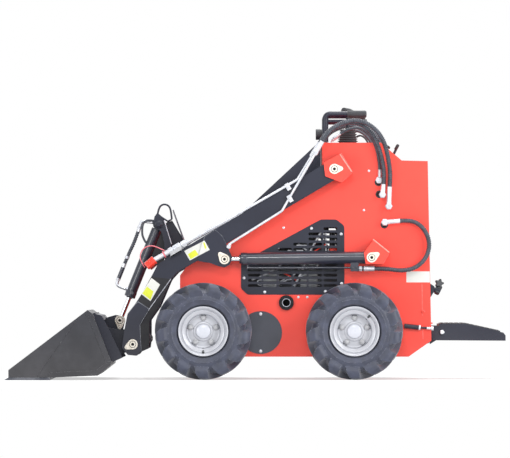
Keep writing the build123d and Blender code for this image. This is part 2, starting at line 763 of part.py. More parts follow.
# ---------------------------------------------------------------- bucket cylinder
TOP_ELBOW = [(-484, 0, 742), (-545, 0, 751), (-556, 0, 718)]
ELBOW_RADIUS = 7
CYLINDER_HOSE = [TOP_ELBOW[-1], beyond(*TOP_ELBOW[1:], 65.4), (-607, 0, 594), (-633, 0, 530)]
BOTTOM_ELBOW = [beyond(*CYLINDER_HOSE[2:], 63.7), (-664, 0, 450), (-646, 0, 436), (-608, 0, 424)]
BUCKET_BARREL_LENGTH = 373
BUCKET_ROD_INSERT = 260
BUCKET_ROD_STANDOFF = 55


def bucket_cylinder():
    """Bucket cylinder on the machine's centre line, between the mast's plates."""
    top, eye_at = BUCKET_CYLINDER_TOP, BUCKET_ROD_EYE
    half = BUCKET_BARREL_RADIUS
    rod_station = BUCKET_BARREL_LENGTH - BUCKET_ROD_INSERT
    stations = (half, rod_station - BUCKET_ROD_STANDOFF, rod_station, BUCKET_BARREL_LENGTH)
    start, inner_end, rod_start, head = (along(top, eye_at, station) for station in stations)
    barrel = straight_bar((start[0], 0, start[1]), (head[0], 0, head[1]), BUCKET_BARREL_RADIUS)
    barrel += round_bar(top, -half, half, BUCKET_TOP_EYE_RADIUS)
    bore_radius = BUCKET_ROD_RADIUS + PIN_CLEARANCE
    barrel -= straight_bar((inner_end[0], 0, inner_end[1]), (head[0], 0, head[1]), bore_radius)
    barrel -= round_bar(top, -half - 1, half + 1, BORE_RADIUS)
    for points in (TOP_ELBOW, BOTTOM_ELBOW):
        barrel += tube_along(points, ELBOW_RADIUS, 14)[0]
    barrel += straight_bar(CYLINDER_HOSE[-1], BOTTOM_ELBOW[0], ELBOW_RADIUS + 3)
    add("bucket_barrel", barrel)
    eye = round_bar(eye_at, -BUCKET_EYE_WIDTH / 2, BUCKET_EYE_WIDTH / 2, BUCKET_EYE_RADIUS)
    end = along(eye_at, top, BUCKET_EYE_RADIUS * 0.6)
    rod = straight_bar((rod_start[0], 0, rod_start[1]), (end[0], 0, end[1]), BUCKET_ROD_RADIUS)
    add("bucket_rod", eye + rod - round_bar(eye_at, -half, half, BUCKET_EYE_BORE))


# ---------------------------------------------------------------- hitch and bucket
BACK_LOW = (-680, 90)
BACK_HIGH = (-767, 312)
HITCH_GUSSET = [BACK_HIGH, (-727, 303), (-714, 282), (-628, 104), (-672, 84), BACK_LOW]
HITCH_TOP_LIP = [(-757, 309.7), (-727, 303), (-714, 282)]
HITCH_BOTTOM_LIP = [(-650, 96), BACK_LOW]
HITCH_BACK_THICKNESS = 10
EAR_OUTLINE = [(-742, 262), (-690, 243), (-622, 231), (-565, 196), (-590, 133), (-682, 110)]
EAR_RADIUS = 34
EAR_THICKNESS = 15
CENTRE_EAR = [(-742, 282), (-670, 303), (-632, 299), (-624, 277), (-632, 240), (-660, 150), (-688, 144)]
CENTRE_EAR_THICKNESS = 14
WINDOW = [(-735, 232), (-690, 232), (-700, 330), (-790, 330)]
HITCH_HALF = 400


def hitch():
    """Hitch plate behind the bucket, with outer ears at the arms and central ears at the rod."""
    frame = strip([BACK_LOW, BACK_HIGH], -HITCH_BACK_THICKNESS, -HITCH_HALF, HITCH_HALF)
    for lip in (HITCH_TOP_LIP, HITCH_BOTTOM_LIP):
        frame += strip(lip, -PLATE_THICKNESS, -HITCH_HALF, HITCH_HALF)
    inner = BUCKET_EYE_WIDTH / 2 + 2
    frame -= plate(WINDOW, -inner, inner)
    gusset = plate(HITCH_GUSSET, -HITCH_HALF, -HITCH_HALF + PLATE_THICKNESS)
    ear_outer = -LUG_INNER + 2
    ear_face = profile(EAR_OUTLINE) + Pos(*HITCH_PIVOT) * Circle(EAR_RADIUS)
    ear = between(ear_face, ear_outer, ear_outer + EAR_THICKNESS)
    centre = plate(CENTRE_EAR, -inner - CENTRE_EAR_THICKNESS, -inner)
    for piece in (gusset, ear, centre):
        frame += piece + mirrored(piece)
    for pivot in (HITCH_PIVOT, BUCKET_ROD_EYE):
        frame -= round_bar(pivot, -HITCH_HALF, HITCH_HALF, PIN_RADIUS)
    add("hitch_frame", frame)
    pin = round_bar(HITCH_PIVOT, -LUG_OUTER - 1, ear_outer + EAR_THICKNESS, PIN_RADIUS)
    add_pair("hitch_pins", pin + retainer(HITCH_PIVOT, -LUG_OUTER - 1, 206))
    stub = round_bar(BUCKET_ROD_EYE, -inner - CENTRE_EAR_THICKNESS, -inner, PIN_RADIUS)
    add_pair("hitch_pins", stub + retainer(BUCKET_ROD_EYE, -inner - CENTRE_EAR_THICKNESS, 270))


HEEL = [(-966, 12), (-742, 21), (-680, 70)]
BUCKET_LIP = (-790, 328)
BUCKET_SIDE_OUTLINE = [(-1160, 12), (-1160, 47), BUCKET_LIP, BACK_HIGH, BACK_LOW, *reversed(HEEL)]
BUCKET_SHELL = [(-1140, 12), *HEEL, BACK_LOW, BACK_HIGH, BUCKET_LIP]
EDGE_OUTLINE = [(-1182, 0), (-966, 0), (-966, 12), (-1160, 12)]


def bucket():
    """Bucket of bent plate with its two side plates and its cutting edge."""
    inside = BUCKET_SIDE - PANEL_THICKNESS
    shell = strip(BUCKET_SHELL, PANEL_THICKNESS, -inside, inside)
    side = plate(BUCKET_SIDE_OUTLINE, -BUCKET_SIDE, -inside)
    add("bucket", shell + side + mirrored(side))
    add("cutting_edge", plate(EDGE_OUTLINE, -BUCKET_SIDE, BUCKET_SIDE))


# ---------------------------------------------------------------- operator platform
PLATFORM_HALF = 200
PLATFORM_SIDE = [
    (836, 252),
    (990, 252),
    (1124, 232),
    (1171, 220),
    (1181, 207),
    (1181, 182),
    (836, 184),
    (822, 214),
]
PLATFORM_TREAD = [(866, 252), (990, 252), (1150, 217)]
TREAD_THICKNESS = 10
HINGE_BOLT_RADIUS = 10
LUG_TIP = [(884, 204), (895, 220), (879, 237), (863, 224), (852, 203)]
LUG_GAP = 2


def platform():
    """Fold-up operator platform on two lugs at the body's rear."""
    side = plate(PLATFORM_SIDE, -PLATFORM_HALF, -PLATFORM_HALF + PANEL_THICKNESS)
    tread = strip(PLATFORM_TREAD, TREAD_THICKNESS, -PLATFORM_HALF, PLATFORM_HALF)
    bolt = round_bar(
        PLATFORM_HINGE, -PLATFORM_HALF - 8, -PLATFORM_HALF + 26, HINGE_BOLT_RADIUS
    )
    add("operator_platform", side + mirrored(side) + tread + bolt + mirrored(bolt))
    lug_y = PLATFORM_HALF - PANEL_THICKNESS - LUG_GAP
    face = profile([(rear_x(165), 165), *LUG_TIP, (rear_x(203), 203)])
    face -= Pos(*PLATFORM_HINGE) * Circle(HINGE_BOLT_RADIUS + PIN_CLEARANCE)
    add_pair("rear_brackets", between(face, -lug_y, -lug_y + 16))


def rear_hardware():
    """Cover latch with its star knob, and the platform's latch rod in its sleeve."""
    y = -BODY_SIDE + 30
    wedge = plate([(rear_x(457), 457), (842, 440), (848, 425), (rear_x(377), 377)], y - 15, y + 15)
    add("rear_brackets", wedge + straight_bar((846, y, 430), (872, y, 417), 20))
    y = -BODY_SIDE - 12
    sleeve = straight_bar((700, y, 252), (776, y, 244), 11)
    rod = straight_bar((770, y, 244.6), (838, y, 240), 5)
    seat = Pos(738, -BODY_SIDE - 6, 248) * Box(24, 12, 18)
    add("rear_brackets", sleeve + rod + seat)


# ---------------------------------------------------------------- hydraulic fittings and hoses
FITTING_RADIUS = 14
HOSE_Y = -(BODY_SIDE + 26)
ARCH_ENDS = ((601, HOSE_Y, 921), (631, HOSE_Y, 909))
ARCH_FITTINGS = ((597, 872), (627, 818))
LOOP_END = (679, HOSE_Y, 748)
LOOP_FITTING = (608, 742)
SPARE_FITTING = (581, 941)


def fitting_at(spot):
    """Point of a fitting's hose line at its (x, z) spot."""
    return (spot[0], HOSE_Y, spot[1])


def hose_fittings():
    """Bulkhead fittings on the body's sides, each with the ferrule of its hose."""
    spots = [SPARE_FITTING, *ARCH_FITTINGS, LOOP_FITTING]
    ends = [None, *ARCH_ENDS, LOOP_END]
    for (x, z), end in zip(spots, ends):
        outer = HOSE_Y - FITTING_RADIUS if end else -BODY_SIDE - FITTING_RADIUS
        fitting = round_bar((x, z), outer, -BODY_SIDE, FITTING_RADIUS)
        if end:
            fitting += straight_bar((x, HOSE_Y, z), end, FERRULE_RADIUS)
        add_pair("hose_fittings", fitting)


def hoses():
    """Free hoses: two arches and one loop on each side, one on the bucket cylinder."""
    outer_start = beyond(LOWER_PIPE[-2], LOWER_PIPE[-1], FERRULE_LENGTH)
    inner_start = beyond(UPPER_PIPE[-2], UPPER_PIPE[-1], FERRULE_LENGTH)
    routes = {
        "arch_hose_inner": [
            inner_start,
            beyond(UPPER_PIPE[-2], UPPER_PIPE[-1], FERRULE_LENGTH + 58),
            (385, -344, 1198),
            (440, -334, 1215),
            (496, -322, 1206),
            (546, -308, 1165),
            (578, -297, 1100),
            (597, -290, 1030),
            beyond(fitting_at(ARCH_FITTINGS[0]), ARCH_ENDS[0], 46),
            ARCH_ENDS[0],
        ],
        "arch_hose_outer": [
            outer_start,
            beyond(LOWER_PIPE[-2], LOWER_PIPE[-1], FERRULE_LENGTH + 58),
            (398, -376, 1206),
            (455, -364, 1222),
            (512, -348, 1214),
            (565, -330, 1180),
            (603, -314, 1126),
            (622, -302, 1056),
            (632, -292, 988),
            beyond(fitting_at(ARCH_FITTINGS[1]), ARCH_ENDS[1], 44),
            ARCH_ENDS[1],
        ],
        "lift_hose": [
            (PORT_FERRULE_END, -ARM_Y, PORT_FERRULE_Z),
            (616, -ARM_Y, PORT_FERRULE_Z),
            (684, -314, 512),
            (748, -310, 523),
            (797, -304, 564),
            (819, -298, 620),
            (812, -293, 676),
            (782, -289, 724),
            beyond(fitting_at(LOOP_FITTING), LOOP_END, 54),
            LOOP_END,
        ],
    }
    for name, points in routes.items():
        hose(f"{name}_left", points, HOSE_RADIUS)
        for solid in NODES[f"{name}_left"]:
            add(f"{name}_right", mirrored(solid))
    hose("cylinder_hose", CYLINDER_HOSE, SMALL_HOSE_RADIUS)


def main():
    """Builds every node and writes its STEP file."""
    side_panels()
    grilles()
    body_frame()
    covers()
    side_covers()
    engine()
    pivot_brackets()
    body_pins()
    hood()
    controls()
    wheels()
    boom_arms()
    boom_cross_members()
    boom_pins()
    boom_pipes()
    couplers()
    lift_cylinders()
    bucket_cylinder()
    hitch()
    bucket()
    platform()
    rear_hardware()
    hose_fittings()
    hoses()
    os.makedirs("parts", exist_ok=True)
    for name, solids in NODES.items():
        export_step(Compound(solids), f"parts/{name}.step")


main()
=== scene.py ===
"""Looks of a stand-on mini skid steer loader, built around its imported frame.

Sizes are in millimetres in the machine's own frame and turned to metres as each
mesh is made: -X is the bucket, +X the operator platform, -Y the left side, +Z up.
What stands on both sides is made once for the left and mirrored.
"""

import json
import logging
import math
from collections.abc import Callable, Iterable, Sequence
from dataclasses import dataclass, field
from enum import Enum

import bpy
from mathutils import Matrix, Vector

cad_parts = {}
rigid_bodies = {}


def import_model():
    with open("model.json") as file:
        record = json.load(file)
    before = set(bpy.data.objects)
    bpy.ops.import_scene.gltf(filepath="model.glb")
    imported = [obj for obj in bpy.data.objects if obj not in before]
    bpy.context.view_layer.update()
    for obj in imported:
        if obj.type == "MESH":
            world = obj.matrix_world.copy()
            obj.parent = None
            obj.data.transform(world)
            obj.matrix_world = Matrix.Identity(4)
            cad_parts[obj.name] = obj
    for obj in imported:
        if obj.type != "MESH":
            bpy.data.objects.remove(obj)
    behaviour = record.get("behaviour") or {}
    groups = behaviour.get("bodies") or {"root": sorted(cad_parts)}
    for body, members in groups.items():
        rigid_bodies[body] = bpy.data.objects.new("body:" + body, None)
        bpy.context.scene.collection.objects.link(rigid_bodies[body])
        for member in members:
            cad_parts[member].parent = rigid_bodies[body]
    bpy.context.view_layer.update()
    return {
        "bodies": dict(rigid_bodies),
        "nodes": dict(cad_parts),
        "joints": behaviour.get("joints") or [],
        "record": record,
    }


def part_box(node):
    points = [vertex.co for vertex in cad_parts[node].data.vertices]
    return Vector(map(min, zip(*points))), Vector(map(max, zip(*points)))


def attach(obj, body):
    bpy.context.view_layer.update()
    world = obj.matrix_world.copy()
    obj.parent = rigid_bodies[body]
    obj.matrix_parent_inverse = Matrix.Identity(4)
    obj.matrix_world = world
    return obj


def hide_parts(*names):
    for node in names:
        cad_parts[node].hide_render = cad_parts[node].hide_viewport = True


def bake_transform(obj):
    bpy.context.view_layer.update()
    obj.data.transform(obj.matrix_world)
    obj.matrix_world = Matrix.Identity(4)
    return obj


MM = 0.001
LOG = logging.getLogger("loader")
Point = tuple[float, float, float]
Flat = tuple[float, float]
Outline = tuple[Flat, ...]
Route = tuple[Point, ...]
Tree = bpy.types.NodeTree
Socket = bpy.types.NodeSocket

# (radius, height) of a domed socket head of radius 1, and of a grease nipple in millimetres
BUTTON_HEAD: Outline = (
    (1.0, 0.0), (0.98, 0.16), (0.86, 0.38), (0.62, 0.55), (0.42, 0.6), (0.36, 0.58), (0.34, 0.2), (0.001, 0.2))
GREASE_NIPPLE: Outline = ((3.4, 0), (3.4, 3), (2.2, 4.5), (2.6, 7), (0.01, 8))


class Side(Enum):
    """Side of the machine, with the sign of its Y."""

    LEFT = -1
    RIGHT = 1

    @property
    def word(self) -> str:
        """Lower-case word used in the frame's node names."""
        return self.name.lower()

    def y(self, size: float) -> float:
        """Y of a place that lies this far from the centre line."""
        return self.value * size


# ---------------- mesh building
def facing(origin: Sequence[float], direction: Sequence[float]) -> Matrix:
    """Placement whose Z axis points in a direction.

    Args:
        origin: Place of the local origin, in millimetres.
        direction: Direction of the local Z axis.

    Returns:
        The placement as a 4 x 4 matrix.
    """
    turn = Vector(direction).to_track_quat("Z", "Y").to_matrix().to_4x4()
    return Matrix.Translation(Vector(origin)) @ turn


def placed(name: str, data: bpy.types.ID, place: Matrix | None = None) -> bpy.types.Object:
    """Puts an object in the scene.

    Args:
        name: Its name.
        data: Its mesh, light or camera.
        place: Its placement in metres, or None for the origin.

    Returns:
        The new object.
    """
    made = bpy.data.objects.new(name, data)
    made.matrix_world = place or Matrix()
    bpy.context.scene.collection.objects.link(made)
    return made


def looking(place: Point, aim: Point) -> Matrix:
    """Placement, in metres, of a camera or lamp that looks from one point at another."""
    start, end = Vector(place) * MM, Vector(aim) * MM
    return Matrix.Translation(start) @ (end - start).to_track_quat("-Z", "Y").to_matrix().to_4x4()


def circle(radius: float, steps: int) -> list[Flat]:
    """Points at even angles round a circle about the origin."""
    turns = (2 * math.pi * step / steps for step in range(steps))
    return [(radius * math.cos(turn), radius * math.sin(turn)) for turn in turns]


def outward(x: float, z: float, y: float) -> Matrix:
    """Placement on a side face, with Z pointing away from the machine's centre."""
    return facing((x, y, z), (0, -1 if y < 0 else 1, 0))


def at_y(outline: Iterable[Flat], y: float) -> list[Point]:
    """Points of an (x, z) outline at a distance along Y."""
    return [(x, y, z) for x, z in outline]


def turned(degrees: float, axis: str = "Z") -> Matrix:
    """Rotation about an axis."""
    return Matrix.Rotation(math.radians(degrees), 4, axis)


def grooved(count: int, first: float, pitch: float, ring: Sequence[Flat]) -> list[Flat]:
    """Outline of evenly spaced rings, each given as (radius, height above its base)."""
    return [(radius, first + pitch * number + height) for number in range(count) for radius, height in ring]


def shrunk(corners: Sequence[Flat], margin: float) -> list[Flat]:
    """Corners of an outline, each moved towards its centre by a margin."""
    centre = Vector((sum(x for x, _ in corners), sum(z for _, z in corners))) / len(corners)
    spokes = [Vector(corner) - centre for corner in corners]
    return [tuple(centre + spoke * (1 - margin / spoke.length)) for spoke in spokes]


class Shape:
    """Vertices and faces in millimetres, gathered piece by piece into one mesh."""

    def __init__(self) -> None:
        """Starts with an empty mesh."""
        self.points: list[Vector] = []
        self.faces: list[tuple[int, ...]] = []

    def add(self, points: Iterable[Sequence[float]], faces: Iterable[Sequence[int]],
            place: Matrix | None = None) -> "Shape":
        """Adds points and faces, placed by a matrix.

        Args:
            points: Corner points.
            faces: Corner numbers of each face.
            place: Placement of the points, or None to leave them.

        Returns:
            This shape, so that calls can follow each other.
        """
        start = len(self.points)
        self.points.extend(place @ Vector(point) if place else Vector(point) for point in points)
        self.faces.extend(tuple(start + corner for corner in face) for face in faces)
        return self

    def loft(self, rings: Sequence[Sequence[Sequence[float]]], place: Matrix | None = None,
             capped: bool = True, closed: bool = False) -> "Shape":
        """Joins rings of equally many points by quads.

        Args:
            rings: Rings in order, each a closed loop of points.
            place: Placement of the rings.
            capped: Whether the first and last ring get a face.
            closed: Whether the last ring joins the first.

        Returns:
            This shape.
        """
        count = len(rings[0])
        points = [point for ring in rings for point in ring]
        spans = len(rings) if closed else len(rings) - 1
        faces = []
        for ring in range(spans):
            low = ring * count
            high = (ring + 1) % len(rings) * count
            for corner in range(count):
                after = (corner + 1) % count
                faces.append((low + corner, low + after, high + after, high + corner))
        if capped and not closed:
            faces.append(tuple(reversed(range(count))))
            faces.append(tuple(range(len(points) - count, len(points))))
        return self.add(points, faces, place)

    def lathe(self, outline: Sequence[Flat], place: Matrix, steps: int = 32, closed: bool = False) -> "Shape":
        """Turns an outline of (radius, height) points about the local Z axis.

        Args:
            outline: Points from one end to the other.
            place: Placement of the turned piece.
            steps: Number of steps round the axis.
            closed: Whether the outline is a loop, as in a ring.

        Returns:
            This shape.
        """
        rings = [[(x, y, height) for x, y in circle(radius, steps)] for radius, height in outline]
        return self.loft(rings, place, False, closed)

    def prism(self, outline: Sequence[Flat], low: float, high: float, place: Matrix, chamfer: float) -> "Shape":
        """Extrudes a convex outline along local Z, with a chamfer round its upper face.

        Args:
            outline: Corners in the local XY plane.
            low: Height of the lower face.
            high: Height of the upper face.
            place: Placement of the piece.
            chamfer: Width and depth of the chamfer.

        Returns:
            This shape.
        """
        centre = Vector((sum(x for x, _ in outline), sum(y for _, y in outline))) / len(outline)
        reach = max((Vector(corner) - centre).length for corner in outline)
        inner = [centre + (Vector(corner) - centre) * (1 - chamfer / reach) for corner in outline]
        levels = ((outline, low), (outline, high - chamfer), (inner, high))
        return self.loft([[(x, y, level) for x, y in corners] for corners, level in levels], place)

    def hexagon(self, across: float, low: float, high: float, place: Matrix, chamfer: float) -> "Shape":
        """Adds a hexagonal head or nut of a given width across its flats."""
        return self.prism(circle(across / math.sqrt(3), 6), low, high, place, chamfer)

    def block(self, size: Point, centre: Sequence[float], chamfer: float = 1.0,
              turn: Matrix | None = None) -> "Shape":
        """Adds a box whose edges along X, Y and Z are all chamfered.

        Args:
            size: Edge lengths.
            centre: Centre of the box.
            chamfer: Chamfer width.
            turn: Rotation about the centre.

        Returns:
            This shape.
        """
        half = [length / 2 for length in size]
        cut = min(chamfer, *half)

        def ring(height: float, shrink: float) -> list[Point]:
            x, y = half[0] - shrink, half[1] - shrink
            corners = ((x, y - cut), (x - cut, y), (cut - x, y), (-x, y - cut))
            return [(*c, height) for c in corners] + [(-c[0], -c[1], height) for c in corners]

        heights = ((-half[2], cut), (cut - half[2], 0), (half[2] - cut, 0), (half[2], cut))
        place = Matrix.Translation(Vector(centre)) @ (turn.to_4x4() if turn else Matrix())
        return self.loft([ring(height, shrink) for height, shrink in heights], place)

    def tube(self, path: Sequence[Vector], radius: float | Callable[[float, float], float], sides: int) -> "Shape":
        """Sweeps a round section along a path with no twist.

        Args:
            path: Points of the centre line.
            radius: Radius, or a function of the distance along the path and the angle round it.
            sides: Points round the section.

        Returns:
            This shape.
        """
        rings = []
        distance = 0.0
        for index, (centre, across, other) in enumerate(carried_frames(path)):
            if index:
                distance += (path[index] - path[index - 1]).length
            ring = []
            for step in range(sides):
                angle = 2 * math.pi * step / sides
                size = radius(distance, angle) if callable(radius) else radius
                ring.append(centre + (across * math.cos(angle) + other * math.sin(angle)) * size)
            rings.append(ring)
        return self.loft(rings)

    def rod(self, corners: Sequence[Sequence[float]], radius: float, sides: int = 8) -> "Shape":
        """Adds a round bar that follows a line's corners."""
        return self.tube(even_steps(corners, 4.0), radius, sides)

    def button_head(self, place: Matrix, radius: float) -> "Shape":
        """Adds a domed screw head with a socket, standing on the local XY plane."""
        return self.lathe([(radius * r, radius * h) for r, h in BUTTON_HEAD], place, 20)

    def hex_bolt(self, place: Matrix, across: float, height: float) -> "Shape":
        """Adds a hexagon head of a given width on a washer, standing on the local XY plane."""
        self.lathe([(across * 0.72, 0), (across * 0.72, height * 0.16), (across * 0.66, height * 0.24),
                    (across * 0.3, height * 0.24)], place, 24)
        return self.hexagon(across, height * 0.22, height, place, across * 0.08)

    def weld(self, line: Sequence[Sequence[float]], radius: float, ripple: float) -> "Shape":
        """Adds a weld bead along a line, with the ripples its pools leave.

        Args:
            line: Corner points of the line.
            radius: Radius of the bead.
            ripple: Distance between two ripples.

        Returns:
            This shape.
        """
        path = even_steps(line, ripple / 4)
        total = line_length(path)

        def size(distance: float, angle: float) -> float:
            end = min(1.0, distance / radius + 0.35, (total - distance) / radius + 0.35)
            return radius * end * (0.9 + 0.13 * abs(math.sin(math.pi * distance / ripple)))

        return self.tube(path, size, 8)

    def film(self, corners: Sequence[Flat], y: float, thickness: float = 0.5) -> "Shape":
        """Adds a thin film on a side face: a flat plate with softly raised edges.

        Args:
            corners: (x, z) corners, in order.
            y: Face that it is stuck to.
            thickness: Its thickness.

        Returns:
            This shape.
        """
        sign = -1 if y < 0 else 1
        return self.loft([at_y(shrunk(corners, margin), y + sign * height)
                          for margin, height in ((0.0, -0.2), (0.0, thickness * 0.6), (0.9, thickness))])

    def plate(self, outline: Sequence[Flat], small: Sequence[Flat], inner: float, outer: float,
              chamfer: float) -> "Shape":
        """Adds a plate between two distances along Y.

        Args:
            outline: Its (x, z) corners.
            small: The corners of its outer face, inside the chamfer.
            inner: Y of the hidden face.
            outer: Y of the outer face.
            chamfer: Depth of the chamfer.

        Returns:
            This shape.
        """
        step = math.copysign(chamfer, outer - inner)
        return self.loft([at_y(corners, y)
                          for corners, y in ((outline, inner), (outline, outer - step), (small, outer))])

    def slab(self, outline: Sequence[Flat], inner: float, outer: float, chamfer: float) -> "Shape":
        """Adds a plate of any counterclockwise outline, with its outer edges mitred by a chamfer."""
        small = offset_line([outline[-1], *outline, outline[0]], chamfer)[1:-1]
        return self.plate(outline, small, inner, outer, chamfer)

    def sleeve(self, place: Matrix, start: float, end: float, radius: float = 11.6) -> "Shape":
        """Adds the shell of a hose ferrule: a collar, a crimped barrel with flats and a rolled lip.

        Args:
            place: Placement, with Z along the hose.
            start: Where the shell begins along Z.
            end: Where it ends.
            radius: Its radius at the collars.

        Returns:
            This shape.
        """
        slim, span = radius - 0.9, end - start
        outline = [(radius - 2.4, start), (radius, start + 0.06 * span), (radius, start + 0.14 * span),
                   (slim - 0.5, start + 0.17 * span), (slim, start + 0.24 * span)]
        outline += grooved(4, start + 0.30 * span, 0.14 * span,
                           ((slim + 0.5, 0), (slim + 0.5, 0.07 * span), (slim - 0.3, 0.09 * span)))
        outline += [(slim, start + 0.90 * span), (radius, start + 0.94 * span), (radius, end),
                    (radius - 2.0, end + 1.0)]
        return self.lathe(outline, place)

    def mirrored(self) -> "Shape":
        """This shape together with its mirror image on the machine's other side."""
        return self.add([(p.x, -p.y, p.z) for p in self.points], [tuple(reversed(face)) for face in self.faces])

    def build(self, name: str, surface: "Surface", body: str | None, sharp: float = 40.0,
              slot: str | None = None) -> bpy.types.Object:
        """Makes the mesh object and lets it ride on a body.

        Args:
            name: Name of the piece.
            surface: Its finish.
            body: Body that carries it, or None to leave it unparented.
            sharp: Edges sharper than this many degrees stay crisp.
            slot: The record's material slot if it isn't the finish's own, empty for none; not used.

        Returns:
            The new object.
        """
        mesh = bpy.data.meshes.new(name)
        mesh.from_pydata([point * MM for point in self.points], [], self.faces)
        mesh.materials.append(surface.material)
        mesh.polygons.foreach_set("use_smooth", [True] * len(mesh.polygons))
        mesh.set_sharp_from_angle(angle=math.radians(sharp))
        mesh.validate()
        piece = placed(name, mesh)
        if body:
            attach(piece, body)
        slot = surface.value.slot if slot is None else slot
        LOG.info("%s: %d faces", name, len(mesh.polygons))
        return piece


def offset_line(points: Sequence[Flat], distance: float) -> list[Flat]:
    """Points moved sideways to the left of their line, mitred at the bends.

    Args:
        points: Corners of the line.
        distance: How far they move; negative moves them right.

    Returns:
        The moved corners.
    """
    moved = []
    for index, point in enumerate(points):
        here = Vector(point)
        normals = []
        for start, end in ((Vector(points[max(index - 1, 0)]), here),
                           (here, Vector(points[min(index + 1, len(points) - 1)]))):
            if (end - start).length:
                along = (end - start).normalized()
                normals.append(Vector((-along.y, along.x)))
        total = sum(normals, Vector((0, 0)))
        moved.append(tuple(here + total * (distance * len(normals) / total.length_squared)))
    return moved


def carried_frames(path: Sequence[Vector]) -> list[tuple[Vector, Vector, Vector]]:
    """Centre and two cross directions at each point of a path, carried along with no twist.

    Args:
        path: Points of the centre line.

    Returns:
        A (centre, first direction, second direction) for each point.
    """
    frames = []
    across = None
    for index, centre in enumerate(path):
        before = path[max(index - 1, 0)]
        after = path[min(index + 1, len(path) - 1)]
        ahead = (after - before).normalized()
        if across is None:
            across = ahead.orthogonal()
        across = (across - ahead * across.dot(ahead)).normalized()
        frames.append((centre, across, ahead.cross(across)))
    return frames


def spline_points(route: Sequence[Point], spacing: float) -> list[Vector]:
    """Evenly spaced points on the smooth line that a route's points control.

    Args:
        route: Control points in millimetres.
        spacing: Distance between the points returned, in millimetres.

    Returns:
        Points of the evaluated line, in millimetres.
    """
    curve = bpy.data.curves.new("route", "CURVE")
    curve.dimensions = "3D"
    curve.resolution_u = 24
    spline = curve.splines.new("NURBS")
    spline.points.add(len(route) - 1)
    for point, place in zip(spline.points, route):
        point.co = (*(size * MM for size in place), 1.0)
    spline.order_u = 3
    spline.use_endpoint_u = True
    carrier = bpy.data.objects.new("route", curve)
    bpy.context.scene.collection.objects.link(carrier)
    graph = bpy.context.evaluated_depsgraph_get()
    mesh = bpy.data.meshes.new_from_object(carrier.evaluated_get(graph))
    line = [vertex.co / MM for vertex in mesh.vertices]
    bpy.data.objects.remove(carrier)
    bpy.data.meshes.remove(mesh)
    return even_steps(line, spacing)


def even_steps(line: Sequence[Sequence[float]], spacing: float) -> list[Vector]:
    """Points at even distances along a line.

    Args:
        line: Points of the line.
        spacing: Largest distance between two of the points returned.

    Returns:
        The points, with both ends of the line among them.
    """
    line = [Vector(point) for point in line]
    lengths = [0.0]
    for start, end in zip(line, line[1:]):
        lengths.append(lengths[-1] + (end - start).length)
    count = max(2, math.ceil(lengths[-1] / spacing) + 1)
    points = []
    span = 0
    for step in range(count):
        target = lengths[-1] * step / (count - 1)
        while span < len(line) - 2 and lengths[span + 1] < target:
            span += 1
        room = lengths[span + 1] - lengths[span]
        share = (target - lengths[span]) / room if room else 0.0
        points.append(line[span].lerp(line[span + 1], min(max(share, 0.0), 1.0)))
    return points


def line_length(line: Sequence[Vector]) -> float:
    """Length of a line through points."""
    return sum((end - start).length for start, end in zip(line, line[1:]))


# ---------------- finishes
def linear(colour: str) -> tuple[float, float, float, float]:
    """Linear colour of an sRGB hex value such as #C9CACC."""
    parts = [int(colour[i : i + 2], 16) / 255 for i in (1, 3, 5)]
    return (*(p / 12.92 if p <= 0.04045 else ((p + 0.055) / 1.055) ** 2.4 for p in parts), 1.0)


def node(tree: Tree, kind: str, settings: dict[str, object] | None = None,
         inputs: dict[str | int, object] | None = None) -> bpy.types.Node:
    """Adds a node with its settings and links.

    Args:
        tree: Node tree of the material.
        kind: Blender's name of the node's type, without its prefix.
        settings: Properties of the node.
        inputs: Socket names or numbers, each with a value or the socket that feeds it.

    Returns:
        The new node.
    """
    made = tree.nodes.new(f"ShaderNode{kind}")
    for name, value in (settings or {}).items():
        setattr(made, name, value)
    for name, value in (inputs or {}).items():
        if isinstance(value, Socket):
            tree.links.new(value, made.inputs[name])
        else:
            made.inputs[name].default_value = value
    return made


def empty_tree(owner: bpy.types.Material | bpy.types.World) -> Tree:
    """The cleared node tree of a material or a world."""
    owner.use_nodes = True
    owner.node_tree.nodes.clear()
    return owner.node_tree


# settings of the nodes that map a span smoothly and that mix two colours
SMOOTH: dict[str, object] = {"interpolation_type": "SMOOTHSTEP"}
COLOURS: dict[str, object] = {"data_type": "RGBA"}


